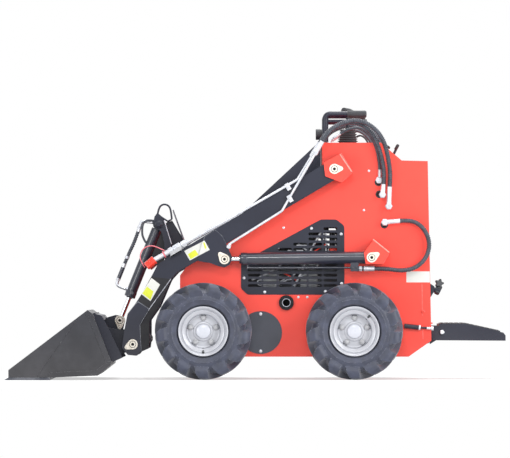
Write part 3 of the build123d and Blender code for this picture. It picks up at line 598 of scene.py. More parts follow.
@dataclass(frozen=True)
class Finish:
    """A surface: its colour, gloss, and the fine relief and wear that its making leaves."""

    name: str
    colour: str
    second: str
    roughness: float
    metallic: float = 0.0
    coat: float = 0.0
    coat_roughness: float = 0.1
    patch_mm: float = 40.0
    grain_mm: float = 1.0
    relief_mm: float = 0.02
    scratch_mm: float = 0.0
    bevel_mm: float = 0.5
    edge_colour: str = ""
    edge_amount: float = 0.0
    dust: float = 0.0
    dust_top_mm: float = 500.0
    sheen: float = 0.0
    # the record's material slot named for this finish, or nothing
    slot: str = ""

    def material(self) -> bpy.types.Material:
        """Makes the material.

        Returns:
            A material with object-space relief, soft edges, patches of a second tone and pale edges: wear on most
            finishes, a painted highlight on the tyre's lugs.
        """
        made = bpy.data.materials.new(self.name)
        tree = empty_tree(made)
        place = node(tree, "TexCoord").outputs["Object"]
        patches = node(tree, "TexNoise", inputs={
            "Vector": place, "Scale": 1 / (self.patch_mm * MM), "Detail": 4, "Roughness": 0.6}).outputs["Fac"]
        height = node(tree, "TexNoise", inputs={
            "Vector": place, "Scale": 1 / (self.grain_mm * MM), "Detail": 2}).outputs["Fac"]
        share = node(tree, "MapRange", SMOOTH, {"Value": patches, "From Min": 0.35, "From Max": 0.68}).outputs["Result"]
        colour = node(tree, "Mix", COLOURS, {
            "Factor": share, 6: linear(self.colour), 7: linear(self.second)}).outputs[2]
        rough = node(tree, "MapRange", SMOOTH, {
            "Value": patches, "From Min": 0.25, "From Max": 0.75, "To Min": self.roughness * 0.88,
            "To Max": min(1.0, self.roughness * 1.14)}).outputs["Result"]
        if self.scratch_mm:
            height = self.scratches(tree, place, height)
        relief = node(tree, "Bump", inputs={
            "Strength": 1.0, "Distance": self.relief_mm * MM, "Height": height}).outputs["Normal"]
        edge = node(tree, "Bevel", {"samples": 4}, {"Radius": self.bevel_mm * MM, "Normal": relief})
        normal = edge.outputs["Normal"]
        if self.edge_amount:
            colour = self.worn(tree, place, colour, normal)
        if self.dust:
            colour = self.dusty(tree, place, colour, patches)
        shader = node(tree, "BsdfPrincipled", inputs={
            "Base Color": colour, "Roughness": rough, "Metallic": self.metallic, "Normal": normal,
            "Coat Weight": self.coat, "Coat Roughness": self.coat_roughness, "Sheen Weight": self.sheen})
        node(tree, "OutputMaterial", inputs={"Surface": shader.outputs["BSDF"]})
        return made

    def scratches(self, tree: Tree, place: Socket, grain: Socket) -> Socket:
        """Adds long fine scratches along X to the grain and returns the height's socket."""
        drawn = node(tree, "Mapping", inputs={"Vector": place, "Scale": (0.06, 1.0, 1.0)})
        lines = node(tree, "TexNoise", inputs={
            "Vector": drawn.outputs["Vector"], "Scale": 1 / (self.scratch_mm * MM), "Detail": 3}).outputs["Fac"]
        return node(tree, "Math", {"operation": "ADD"}, {0: grain, 1: lines}).outputs[0]

    def worn(self, tree: Tree, place: Socket, colour: Socket, soft_normal: Socket) -> Socket:
        """Mixes the edge colour in along sharp edges, broken up by noise, and returns the colour's socket; this is edge
        wear on most finishes and a painted highlight on the tyre's lugs.
        """
        hard = node(tree, "NewGeometry").outputs["Normal"]
        match = node(tree, "VectorMath", {"operation": "DOT_PRODUCT"}, {0: hard, 1: soft_normal}).outputs["Value"]
        breaks = node(tree, "TexNoise", inputs={"Vector": place, "Scale": 1 / (9 * MM), "Detail": 3}).outputs["Fac"]
        edge = node(tree, "MapRange", SMOOTH, {"Value": match, "From Min": 0.985, "From Max": 0.90}).outputs["Result"]
        spots = node(tree, "MapRange", SMOOTH, {
            "Value": breaks, "From Min": 0.45, "From Max": 0.62, "To Max": self.edge_amount}).outputs["Result"]
        amount = node(tree, "Math", {"operation": "MULTIPLY"}, {0: edge, 1: spots}).outputs[0]
        return node(tree, "Mix", COLOURS, {"Factor": amount, 6: colour, 7: linear(self.edge_colour)}).outputs[2]

    def dusty(self, tree: Tree, place: Socket, colour: Socket, patches: Socket) -> Socket:
        """Mixes pale dust in towards the ground and returns the colour's socket."""
        height = node(tree, "SeparateXYZ", inputs={"Vector": place}).outputs["Z"]
        low = node(tree, "MapRange", SMOOTH, {
            "Value": height, "From Min": self.dust_top_mm * MM, "From Max": 0, "To Max": self.dust}).outputs["Result"]
        amount = node(tree, "Math", {"operation": "MULTIPLY"}, {0: low, 1: patches}).outputs[0]
        return node(tree, "Mix", COLOURS, {"Factor": amount, 6: colour, 7: linear("#8F8A83")}).outputs[2]


class Surface(Enum):
    """The machine's finishes."""

    # Powder-coated sheet steel: even, slightly orange-peeled gloss.
    RED_POWDER = Finish(
        "red_powder_coat_on_steel", "#F94A3C", "#F54335", 0.34, coat=0.2, coat_roughness=0.22, patch_mm=420,
        grain_mm=2.2, relief_mm=0.018, bevel_mm=1.8, dust=0.10, dust_top_mm=260)
    # Wet-sprayed enamel on plate: dark blue satin, finely pebbled.
    DARK_ENAMEL = Finish(
        "anthracite_enamel_on_plate", "#0C1126", "#11172C", 0.42, coat=0.05, coat_roughness=0.35, patch_mm=300,
        grain_mm=1.8, relief_mm=0.025, bevel_mm=1.5, edge_colour="#8A8D95", edge_amount=0.25, dust=0.12,
        dust_top_mm=400)
    # Smoother grey enamel of the pressed drive covers.
    COVER_ENAMEL = Finish(
        "grey_enamel_on_pressed_cover", "#3C3F49", "#444752", 0.40, coat=0.1, coat_roughness=0.3, patch_mm=120,
        grain_mm=1.8, bevel_mm=1.5)
    # Enamel on the bucket's rolled plate, rubbed by earth.
    BUCKET_ENAMEL = Finish(
        "rubbed_enamel_on_rolled_plate", "#212229", "#2C2D35", 0.46, patch_mm=140, grain_mm=2.5, relief_mm=0.05,
        scratch_mm=2, bevel_mm=1.5, edge_colour="#A3A4A8", edge_amount=0.6, dust=0.14, dust_top_mm=300)
    # Quenched wear plate: dull brushed steel.
    WEAR_PLATE = Finish(
        "bare_wear_plate", "#6E7077", "#4C4E56", 0.42, metallic=0.85, patch_mm=60, grain_mm=1.5, relief_mm=0.06,
        scratch_mm=1.2, bevel_mm=0.8, edge_colour="#C9CACD", edge_amount=0.8)
    # Baked gloss enamel on drawn tube: near-black with long reflections.
    CYLINDER_ENAMEL = Finish(
        "gloss_enamel_on_drawn_tube", "#2A2E3A", "#323644", 0.30, coat=0.5, coat_roughness=0.12, patch_mm=200,
        grain_mm=1.5, relief_mm=0.008, bevel_mm=1, dust=0.08, dust_top_mm=600, slot="cylinder_paint")
    # Hard chrome on ground steel: a clean mirror.
    HARD_CHROME = Finish(
        "hard_chrome_on_ground_rod", "#E4E5E8", "#D6D8DC", 0.10, metallic=1, patch_mm=80, grain_mm=0.8,
        relief_mm=0.002, bevel_mm=0.6)
    # Zinc plate with a clear passivate: pale satin metal.
    ZINC = Finish(
        "zinc_plated_steel", "#E2E4EA", "#C9CCD4", 0.34, metallic=0.55, grain_mm=1.2, relief_mm=0.012, bevel_mm=0.7,
        edge_colour="#F6F4EE", edge_amount=0.4, slot="zinc_plate")
    # Yellow-passivated plate of the pins' retainers, faded to cream.
    CREAM_PLATE = Finish(
        "faded_yellow_passivate", "#EFE9DF", "#E2DACB", 0.42, metallic=0.15, patch_mm=30, grain_mm=1.2,
        relief_mm=0.015, bevel_mm=0.8, edge_colour="#F8F4E8", edge_amount=0.4, slot="zinc_plate")
    # Phosphated wheel nuts: mid grey, oiled.
    GREY_PHOSPHATE = Finish(
        "oiled_phosphate_on_steel", "#B9BABD", "#A6A7AB", 0.38, metallic=0.4, patch_mm=14, bevel_mm=0.7)
    # Gloss white enamel of the hub caps.
    CAP_ENAMEL = Finish(
        "white_enamel_on_pressed_cap", "#CACDD6", "#C0C3CC", 0.30, coat=0.3, patch_mm=60, grain_mm=1.5,
        relief_mm=0.01, bevel_mm=1, slot="rim_paint")
    # Wheel enamel over pressed steel: silver-white, softly glossy.
    WHEEL_ENAMEL = Finish(
        "silver_enamel_on_pressed_steel", "#BDBFC6", "#B2B4BB", 0.36, metallic=0.25, coat=0.2, coat_roughness=0.3,
        patch_mm=90, grain_mm=1.5, relief_mm=0.015, bevel_mm=1.2, dust=0.15, dust_top_mm=430, slot="rim_paint")
    # Moulded tyre rubber with a blue-grey bloom; its pale blue-grey edge colour is a painted highlight on the lugs'
    # edges.
    TYRE_RUBBER = Finish(
        "moulded_tyre_rubber", "#303444", "#3F4457", 0.44, patch_mm=55, grain_mm=1.6, relief_mm=0.05, bevel_mm=4,
        edge_colour="#9DA3B6", edge_amount=0.45, sheen=0.25, slot="tyre_rubber")
    # Spiral-wound guard over hose: black, slightly waxy.
    HOSE_GUARD = Finish(
        "spiral_polypropylene_guard", "#3A3D46", "#4A4E58", 0.42, patch_mm=25, grain_mm=0.9, relief_mm=0.015,
        slot="hose_rubber")
    # Moulded neoprene: soft, deep black and matt.
    NEOPRENE = Finish(
        "moulded_neoprene", "#26282D", "#2F3137", 0.58, patch_mm=30, bevel_mm=1, sheen=0.2, slot="boot_rubber")
    # Glass-filled nylon: matt black with a fine texture.
    NYLON = Finish("black_glass_filled_nylon", "#25272C", "#2C2E34", 0.48, grain_mm=0.9, relief_mm=0.03, bevel_mm=0.8)
    # Soft vinyl of the dust caps: bright red, glossy.
    RED_VINYL = Finish("red_vinyl", "#E8402F", "#D83A2B", 0.30, coat=0.3, patch_mm=30, relief_mm=0.01, bevel_mm=1)
    # Vinyl strap that ties a cap to its coupler, sun-faded.
    PINK_VINYL = Finish(
        "faded_vinyl_strap", "#D9707A", "#CF6570", 0.38, patch_mm=20, relief_mm=0.01, bevel_mm=0.4,
        slot="cap_plastic")
    # Painted shade: flat black sheets laid on the boom's legs and in the mast, where these fall in shadow.
    RUB_SHEET = Finish(
        "hard_rubber_rub_sheet", "#15151A", "#1B1B21", 0.66, grain_mm=1.4, relief_mm=0.03, bevel_mm=0.6)
    # Bright steel: worn edges, and painted highlights along edges that catch the light.
    BARE_EDGE = Finish("worn_bare_steel_edge", "#CDCFD8", "#9EA0AC", 0.40, metallic=0.4, patch_mm=18)
    # Printed polyester film, white.
    WHITE_FILM = Finish(
        "white_polyester_film", "#D8D9D4", "#D2D3CE", 0.30, coat=0.4, patch_mm=50, relief_mm=0.004, bevel_mm=0.2)
    # Printed polyester film, warning yellow.
    YELLOW_FILM = Finish(
        "yellow_polyester_film", "#D6DE35", "#CFD72F", 0.30, coat=0.4, patch_mm=50, relief_mm=0.004, bevel_mm=0.2)
    # Sand-cast iron, unpainted: dark grey with a coarse skin.
    CAST_IRON = Finish(
        "sand_cast_iron", "#3A3B3F", "#47484C", 0.60, metallic=0.3, patch_mm=50, grain_mm=2, relief_mm=0.12,
        bevel_mm=2)
    # Die-cast aluminium: pale grey with a dull shine.
    CAST_ALUMINIUM = Finish(
        "die_cast_aluminium", "#B4B6B9", "#A2A4A8", 0.42, metallic=0.8, grain_mm=1.5, relief_mm=0.05, bevel_mm=1.2)
    # Exhaust tube, heat-darkened and sooty at its mouth.
    SOOTED_STEEL = Finish(
        "sooted_exhaust_steel", "#1E1F23", "#15161A", 0.55, metallic=0.5, patch_mm=25, grain_mm=1.2, relief_mm=0.05,
        bevel_mm=0.8, edge_colour="#77797F", edge_amount=0.4, slot="bare_steel")
    # Weld metal sprayed over with dark enamel; the bead's lighter grey is a painted highlight on its crests.
    DARK_WELD = Finish("enamelled_weld_bead", "#565963", "#6C6F78", 0.36, patch_mm=8, relief_mm=0.05)
    # The same weld bead under the red coat.
    RED_WELD = Finish(
        "red_coated_weld_bead", "#F4645A", "#EE5449", 0.34, coat=0.3, patch_mm=12, relief_mm=0.03, slot="body_paint")
    # Painted highlight: pale red along bent edges, where they catch the light.
    PALE_EDGE = Finish(
        "thin_powder_coat_on_edge", "#FF9C92", "#FF8A7E", 0.30, coat=0.3, patch_mm=18, bevel_mm=0.8,
        slot="body_paint")
    # Painted shade: flat dark colour for the unlit inside of holes and gaps.
    DARK_HOLE = Finish("unlit_cavity_lining", "#131417", "#17181B", 0.80, patch_mm=30, grain_mm=2)
    # Clear lamp cover over a satin reflector.
    LAMP_LENS = Finish(
        "polycarbonate_lamp_lens", "#DDE2E8", "#D3D9E0", 0.12, metallic=0.2, coat=0.8, coat_roughness=0.05,
        patch_mm=20, grain_mm=1.5, relief_mm=0.01)

    @property
    def material(self) -> bpy.types.Material:
        """The finish's material, made at its first use."""
        return bpy.data.materials.get(self.value.name) or self.value.material()


CAD_FINISHES: dict[Surface, tuple[str, ...]] = {
    Surface.RED_POWDER: ("side_panels", "front_cowl", "top_deck", "rear_cover", "pivot_brackets", "chassis_frame"),
    Surface.DARK_ENAMEL: ("engine_grilles", "hood", "boom_arms", "boom_cross_tubes", "grab_bar",
                          "hitch_frame", "operator_platform", "rear_brackets", "control_levers"),
    Surface.COVER_ENAMEL: ("drive_covers",),
    Surface.WEAR_PLATE: ("cutting_edge",),
    Surface.CYLINDER_ENAMEL: ("lift_barrel_left", "lift_barrel_right", "bucket_barrel"),
    Surface.HARD_CHROME: ("lift_rod_left", "lift_rod_right", "bucket_rod"),
    Surface.ZINC: ("boom_pipes", "hose_fittings"),
    Surface.CREAM_PLATE: ("boom_pins", "body_pins", "hitch_pins"),
    Surface.SOOTED_STEEL: ("exhaust_outlet",),
    Surface.CAST_IRON: ("engine_block",),
    Surface.NYLON: ("work_light",),
}


def dress_frame(nodes: dict[str, bpy.types.Object]) -> None:
    """Gives every CAD node that stays in sight its finish.

    Args:
        nodes: The frame's nodes by name.
    """
    for surface, names in CAD_FINISHES.items():
        for name in names:
            nodes[name].data.materials.clear()
            nodes[name].data.materials.append(surface.material)
            LOG.info("%s: %s", name, surface.value.name)


# ---------------- studio
@dataclass
class Studio:
    """Camera, plain floor and soft lamps."""

    camera_at: Point = (-5, -30480, 420)
    aim_at: Point = (-5, -480, 708)
    lens: float = 451.6
    sensor: float = 36.0
    floor_size: float = 60000.0
    floor_drop: float = 0.5
    world_strength: float = 0.66
    # albedo of the board, seen share of plain white, and the span over which it fades into the backdrop
    board: str = "#E2E2E2"
    white_share: float = 0.55
    fade: tuple[float, float] = (1.7, 3.4)
    # place, aim, edge length, watts
    lamps: tuple[tuple[Point, Point, float, float], ...] = (
        ((-5200, -6800, 1300), (0, 0, 350), 2800, 140), ((5400, -6800, 1300), (0, 0, 350), 2800, 140),
        ((0, -6800, 3600), (0, 0, 300), 900, 80), ((4200, -4200, 3000), (0, 0, 500), 2600, 120),
        ((0, 4200, 4200), (0, 0, 600), 3600, 150), ((600, -300, 5200), (0, 0, 500), 3800, 170))

    def build(self) -> None:
        """Sets up the whole studio."""
        self.camera()
        self.floor()
        self.world()
        for number, (place, aim, size, watts) in enumerate(self.lamps):
            light = bpy.data.lights.new(f"softbox_{number}", "AREA")
            light.size, light.energy = size * MM, watts
            placed(light.name, light, looking(place, aim))
        bpy.context.scene.view_settings.view_transform = "Standard"

    def camera(self) -> None:
        """Makes the camera: far away and long, about knee-high."""
        data = bpy.data.cameras.new("camera")
        data.lens = self.lens
        data.sensor_width = self.sensor
        data.clip_end = 200
        bpy.context.scene.camera = placed("camera", data, looking(self.camera_at, self.aim_at))

    def floor(self) -> None:
        """Makes the floor: white matt board that keeps the machine's shadow."""
        half = self.floor_size / 2 * MM
        mesh = bpy.data.meshes.new("floor")
        corners = [(-half, -half), (half, -half), (half, half), (-half, half)]
        mesh.from_pydata([(x, y, -self.floor_drop * MM) for x, y in corners], [], [(0, 1, 2, 3)])
        board = bpy.data.materials.new("white_matt_board")
        tree = empty_tree(board)
        bounce = node(tree, "BsdfDiffuse", inputs={"Color": linear(self.board)})
        shaded = node(tree, "BsdfDiffuse", inputs={"Color": linear("#FAFAFA")})
        white = node(tree, "Emission", inputs={"Color": (1, 1, 1, 1), "Strength": 1})
        place = node(tree, "TexCoord").outputs["Object"]
        reach = node(tree, "VectorMath", {"operation": "LENGTH"}, {0: place}).outputs["Value"]
        start, end = self.fade
        share = node(tree, "MapRange", SMOOTH, {
            "Value": reach, "From Min": start, "From Max": end, "To Min": self.white_share}).outputs["Result"]
        board_seen = node(tree, "MixShader", inputs={
            0: share, 1: shaded.outputs["BSDF"], 2: white.outputs["Emission"]}).outputs["Shader"]
        both = node(tree, "MixShader", inputs={
            0: self.seen(tree), 1: bounce.outputs["BSDF"], 2: board_seen}).outputs["Shader"]
        node(tree, "OutputMaterial", inputs={"Surface": both})
        mesh.materials.append(board)
        floor = placed("floor", mesh)

    def world(self) -> None:
        """Makes the world: soft white light, and plain white wherever it is seen."""
        world = bpy.data.worlds.new("studio")
        tree = empty_tree(world)
        light = node(tree, "Background", inputs={"Color": (1, 1, 1, 1), "Strength": self.world_strength})
        white = node(tree, "Background", inputs={"Color": (1, 1, 1, 1), "Strength": 1})
        both = node(tree, "MixShader", inputs={
            0: self.seen(tree), 1: light.outputs["Background"], 2: white.outputs["Background"]}).outputs["Shader"]
        node(tree, "OutputWorld", inputs={"Surface": both})
        bpy.context.scene.world = world

    @staticmethod
    def seen(tree: Tree) -> Socket:
        """Socket that is 1 where the surroundings are looked at, directly, mirrored or through glass."""
        rays = node(tree, "LightPath").outputs
        total = rays["Is Camera Ray"]
        for name in ("Is Glossy Ray", "Is Transmission Ray"):
            total = node(tree, "Math", {"operation": "MAXIMUM"}, {0: total, 1: rays[name]}).outputs[0]
        return total


# ---------------- wheels
def smooth_outline(corners: Sequence[Flat], steps: int) -> list[Flat]:
    """Rounded line through points (Catmull-Rom).

    Args:
        corners: Points that the line passes through.
        steps: Points per stretch.

    Returns:
        The line's points.
    """
    ends = [corners[0], *corners, corners[-1]]
    line = []
    for a, b, c, d in zip(ends, ends[1:], ends[2:], ends[3:]):
        for step in range(steps):
            t = step / steps
            line.append(tuple(
                0.5 * (2 * q + (r - p) * t + (2 * p - 5 * q + 4 * r - s) * t**2 + (3 * q - p - 3 * r + s) * t**3)
                for p, q, r, s in zip(a, b, c, d)))
    line.append(corners[-1])
    return line


@dataclass
class Wheel:
    """One wheel: a lug tyre on a bolted steel rim."""

    end: str
    side: Side
    steps: int = 112
    lug_count: int = 13
    nut_circle: float = 62.0
    nut_across: float = 21.0
    # (radius, distance from the middle plane) of a lug's top and of its root, from the crown to the sidewall
    lug_top: Outline = (
        (228, -8), (228, 14), (228, 38), (227.6, 60), (226.4, 78), (222.5, 92), (213, 101.5), (202, 105.6),
        (192, 106.8), (185, 106), (181, 104))
    lug_root: Outline = (
        (200, -8), (200, 14), (200, 38), (197, 56), (191, 72), (183, 82), (177, 89), (173, 93.5), (170, 97),
        (168, 99), (167, 100.4))
    lug_half: tuple[float, ...] = (13, 14, 15, 17, 20, 23, 26.5, 29, 30, 28.5, 25)
    lug_turn: tuple[float, ...] = (0, 5, 10.5, 15, 18, 20, 21.6, 22.8, 23.6, 24, 24.2)
    # (radius, distance from the wheel's middle plane) from the crown to the bead
    carcass: Outline = (
        (203, 0), (202.6, 30), (200, 54), (194.5, 73), (186.5, 85.5), (178.5, 93.5), (170, 98.8), (161.5, 101.8),
        (155, 102.8), (152, 102.8), (149, 104.8), (145, 103.2), (134, 101), (128.5, 99.8), (125.5, 96), (123.6, 88),
        (119, 84.5), (110, 84), (101.6, 83))
    # (radius, distance outward) of the rim's face, from the flange's back to the centre
    rim_face: Outline = (
        (101.4, 84), (110, 88), (115.5, 92), (117.4, 96), (116.8, 98.6), (114.6, 99.6), (111.6, 98.4), (107, 94),
        (103.6, 90), (101.8, 85.4), (100.8, 81.6), (99.6, 82.4), (97, 82.2), (90, 78.4), (84, 74.6), (81.2, 71.4),
        (80.2, 66), (79.4, 48), (77.6, 43.4), (74, 41.2), (68, 40.6), (52, 41.8), (46.5, 43.4), (44.4, 46.4),
        (40, 47.6), (36, 47.8))
    # (radius, distance outward) of the hub cap
    cap: Outline = ((34.5, 46), (34.2, 52), (32.6, 55.4), (29.6, 57.2), (20, 59.6), (10, 60.8), (0.01, 61))
    name: str = field(init=False)

    def __post_init__(self) -> None:
        """Names the wheel after its place."""
        self.name = f"{self.end}_{self.side.word}"

    def place(self) -> Matrix:
        """Placement with local Z along the axle, pointing outward."""
        low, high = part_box(f"tyre_{self.name}")
        centre = (low + high) / 2 / MM
        return facing(centre, (0, self.side.value, 0))

    def build(self) -> None:
        """Makes the tyre, the rim, the nuts, the cap and the dark parts."""
        body = f"wheel_{self.name}"
        tyre = self.tyre().build(f"lug_tyre_{self.name}", Surface.TYRE_RUBBER, body, 28)
        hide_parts(f"tyre_{self.name}")
        rim = self.rim().build(f"steel_rim_{self.name}", Surface.WHEEL_ENAMEL, body, 32)
        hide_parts(f"rim_{self.name}")
        self.hardware().build(f"wheel_hardware_{self.name}", Surface.GREY_PHOSPHATE, body, 30, slot="zinc_plate")
        cap = Shape().lathe(smooth_outline(self.cap, 2), self.place(), 40)
        cap.build(f"hub_cap_{self.name}", Surface.CAP_ENAMEL, body, 30)
        self.dark_parts().build(f"valve_{self.name}", Surface.NEOPRENE, body, 30)

    def tyre(self) -> Shape:
        """Carcass with raised side rings, and lugs that run over both shoulders."""
        shape = Shape()
        half = smooth_outline(self.carcass, 3)
        ring = [(r, -y) for r, y in reversed(half)] + half[1:]
        place = self.place()
        shape.lathe(ring, place, self.steps)
        for side in (-1, 1):
            for number in range(self.lug_count):
                angle = 2 * math.pi * (number + (0.5 if side > 0 else 0)) / self.lug_count
                shape.loft(self.lug(side, angle), place)
        return shape

    def lug(self, side: int, angle: float) -> list[list[Vector]]:
        """Sections of one lug from the crown, over the shoulder and down the sidewall.

        Args:
            side: -1 or 1 for the inner or outer half.
            angle: Angle of the lug's start round the wheel.

        Returns:
            Rings of points for a loft.
        """
        rings = []
        for top, root, half, lean in zip(self.lug_top, self.lug_root, self.lug_half, self.lug_turn):
            high, low = Vector((*top, 0)), Vector((*root, 0))
            step = (low - high).normalized()
            section = ((-half - 4, low), (-half, high + step * 2.4), (-half + 2.8, high), (half - 2.8, high),
                       (half, high + step * 2.4), (half + 4, low))
            ring = []
            for across, point in section:
                theta = angle + side * self.side.value * math.radians(lean) + across / point.x
                ring.append(Vector((point.x * math.cos(theta), point.x * math.sin(theta), side * point.y)))
            rings.append(ring[::side])
        return rings

    def rim(self) -> Shape:
        """Rim face, barrel, back and hub, all turned about the axle."""
        shape = Shape()
        place = self.place()
        back = [(40, 20), (68, 18), (68, 0), (30, 0), (30, -60), (22, -62), (22, -130)]
        inner = [(101.4, -84), (110, -89), (117, -96), (114.5, -99), (111, -94), (104, -84), (99, -80),
                 (96, -66), (80, -58), (77, -40), (76, 28), (70, 31), (40, 31)]
        shape.lathe(smooth_outline(self.rim_face, 2), place, 72)
        shape.lathe(inner[::-1], place, 72)
        shape.lathe(back[::-1], place, 48)
        shape.lathe([(30, 47), (36.2, 47.8)], place, 48)
        return shape

    def hardware(self) -> Shape:
        """Five wheel nuts on their studs, each in a coned seat."""
        shape = Shape()
        place = self.place()
        for x, y in circle(self.nut_circle, 5):
            spot = place @ Matrix.Translation((-y, x, 0))
            shape.lathe([(14.6, 40.4), (14.2, 43), (12.6, 44.6), (10.5, 45)], spot, 24)
            shape.hexagon(self.nut_across, 43.6, 56, spot, 1.6)
            shape.lathe([(6.2, 54), (6.2, 59.4), (5.2, 60.4), (0.01, 60.6)], spot, 16)
        return shape

    def dark_parts(self) -> Shape:
        """Snap-in valve leaning out of the drop centre, and five dark ovals of painted shade where the disc's hand
        holes are.
        """
        shape = Shape()
        angle = {"front": 270, "rear": 46}[self.end] if self.side is Side.LEFT else 20
        spot = self.place() @ turned(angle) @ Matrix.Translation((86, 0, 62)) @ turned(24, "Y")
        shape.lathe([(9, 0), (9, 3), (7, 6), (5.2, 9), (4.8, 24), (5.6, 24.4), (5.6, 33), (4.6, 34.4), (0.01, 34.6)],
                    spot, 18)
        # painted shade: flat dark ovals stand for the shadowed hand holes beside the nuts
        for number in range(5):
            spot = self.place() @ turned(72 * number + 90) @ Matrix.Translation((73.4, 0, 0))
            shape.prism([(3.6 * x, 12 * y) for x, y in circle(1, 20)], 40.2, 42, spot, 0.8)
        return shape


# ---------------- hoses
@dataclass(frozen=True)
class HoseRun:
    """One hydraulic hose: its node, line, size, and what carries its two ends."""

    node: str
    route: Route
    length: float
    radius: float
    start_body: str
    end_body: str
    bend_from: Point | None = None
    bend_to: Point | None = None


ARCH_INNER: Route = (
    (0.2991, -0.358, 1.1139), (0.3292, -0.358, 1.1634), (0.385, -0.344, 1.198), (0.440, -0.334, 1.215),
    (0.496, -0.322, 1.206), (0.546, -0.308, 1.165), (0.578, -0.297, 1.100), (0.597, -0.290, 1.030),
    (0.6047, -0.288, 0.9668), (0.601, -0.288, 0.921))
ARCH_OUTER: Route = (
    (0.3120, -0.3893, 1.1222), (0.3411, -0.3947, 1.1721), (0.398, -0.376, 1.206), (0.455, -0.364, 1.222),
    (0.512, -0.348, 1.214), (0.565, -0.330, 1.180), (0.603, -0.314, 1.126), (0.622, -0.302, 1.056),
    (0.632, -0.292, 0.988), (0.6329, -0.288, 0.9530), (0.631, -0.288, 0.909))
LIFT: Route = (
    (0.557, -0.315, 0.5227), (0.616, -0.315, 0.5227), (0.684, -0.314, 0.512), (0.748, -0.310, 0.523),
    (0.797, -0.304, 0.564), (0.819, -0.298, 0.620), (0.812, -0.293, 0.676), (0.782, -0.289, 0.724),
    (0.7328, -0.288, 0.7525), (0.679, -0.288, 0.748))
CYLINDER: Route = ((-0.556, 0, 0.718), (-0.5767, 0, 0.6560), (-0.607, 0, 0.594), (-0.633, 0, 0.530))


@dataclass
class Hoses:
    """All hydraulic hoses, each inside its spiral guard, with crimped ferrules at both ends."""

    spacing: float = 2.4
    guard_pitch: float = 9.0
    ridge: float = 2.6
    cover: float = 0.9
    ferrule_length: float = 24.0
    ferrule_radius: float = 12.2
    runs: list[HoseRun] = field(init=False)

    def __post_init__(self) -> None:
        """Lists the hoses of both sides."""
        self.runs = [HoseRun("cylinder_hose", CYLINDER, 0.203, 8, "bucket_barrel", "bucket_barrel")]
        for side in Side:
            word, sign = side.word, -side.value
            for name, route, length in (("inner", ARCH_INNER, 0.559), ("outer", ARCH_OUTER, 0.598)):
                self.runs.append(HoseRun(
                    f"arch_hose_{name}_{word}", tuple((x, y * sign, z) for x, y, z in route), length, 10,
                    "boom", "chassis", (0.330, -0.358 * sign, 1.165), (0.600, -0.290 * sign, 1.000)))
            self.runs.append(HoseRun(
                f"lift_hose_{word}", tuple((x, y * sign, z) for x, y, z in LIFT), 0.534, 10,
                f"lift_barrel_{word}", "chassis", (0.616, -0.315 * sign, 0.523), (0.760, -0.290 * sign, 0.740)))

    def build(self) -> None:
        """Makes every hose."""
        for run in self.runs:
            self.hose(run)

    def hose(self, run: HoseRun) -> None:
        """Makes one hose, and two ferrules where the frame has none at its ends.

        Args:
            run: The hose.
        """
        path = spline_points([tuple(size / MM for size in place) for place in run.route], self.spacing)
        guard = Shape().tube(path, lambda distance, angle: self.guard_radius(run, distance, angle), 20)
        same = run.start_body == run.end_body
        piece = guard.build(f"{run.node}_guard", Surface.HOSE_GUARD, run.start_body if same else None, 60)
        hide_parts(run.node)
        for end, spots, body in (("start", path, run.start_body), ("end", path[::-1], run.end_body)):
            if same:
                ferrule = self.ferrule(spots, run.radius)
                ferrule.build(f"{run.node}_{end}_ferrule", Surface.ZINC, body, 30)
        if not same:
            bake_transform(piece)

    def guard_radius(self, run: HoseRun, distance: float, angle: float) -> float:
        """Radius of the hose's guard: a flat spiral strip with a groove between its turns."""
        turn = (distance / self.guard_pitch + angle / (2 * math.pi)) % 1
        return run.radius + (self.cover if turn > 0.3 else self.cover - self.ridge)

    def ferrule(self, spots: Sequence[Vector], radius: float) -> Shape:
        """Crimped sleeve over the hose's first stretch: flats left by eight dies, a collar and a lip.

        Args:
            spots: Points of the hose's line, from its end inward.
            radius: Radius of the hose.

        Returns:
            The sleeve.
        """
        scale = radius / 10
        length = self.ferrule_length * scale
        path = even_steps([spots[0], *[spot for spot in spots[1:] if (spot - spots[0]).length < length]], 1)
        total = line_length(path)

        def size(distance: float, angle: float) -> float:
            if distance < 0.12 * total or distance > 0.93 * total:
                return self.ferrule_radius * scale
            if 0.12 * total <= distance < 0.17 * total:
                return (self.ferrule_radius - 1.4) * scale
            flat = abs(math.cos(4 * angle)) * 0.55
            return (self.ferrule_radius - 0.7 + flat - 0.35) * scale

        return Shape().tube(path, size, 32)


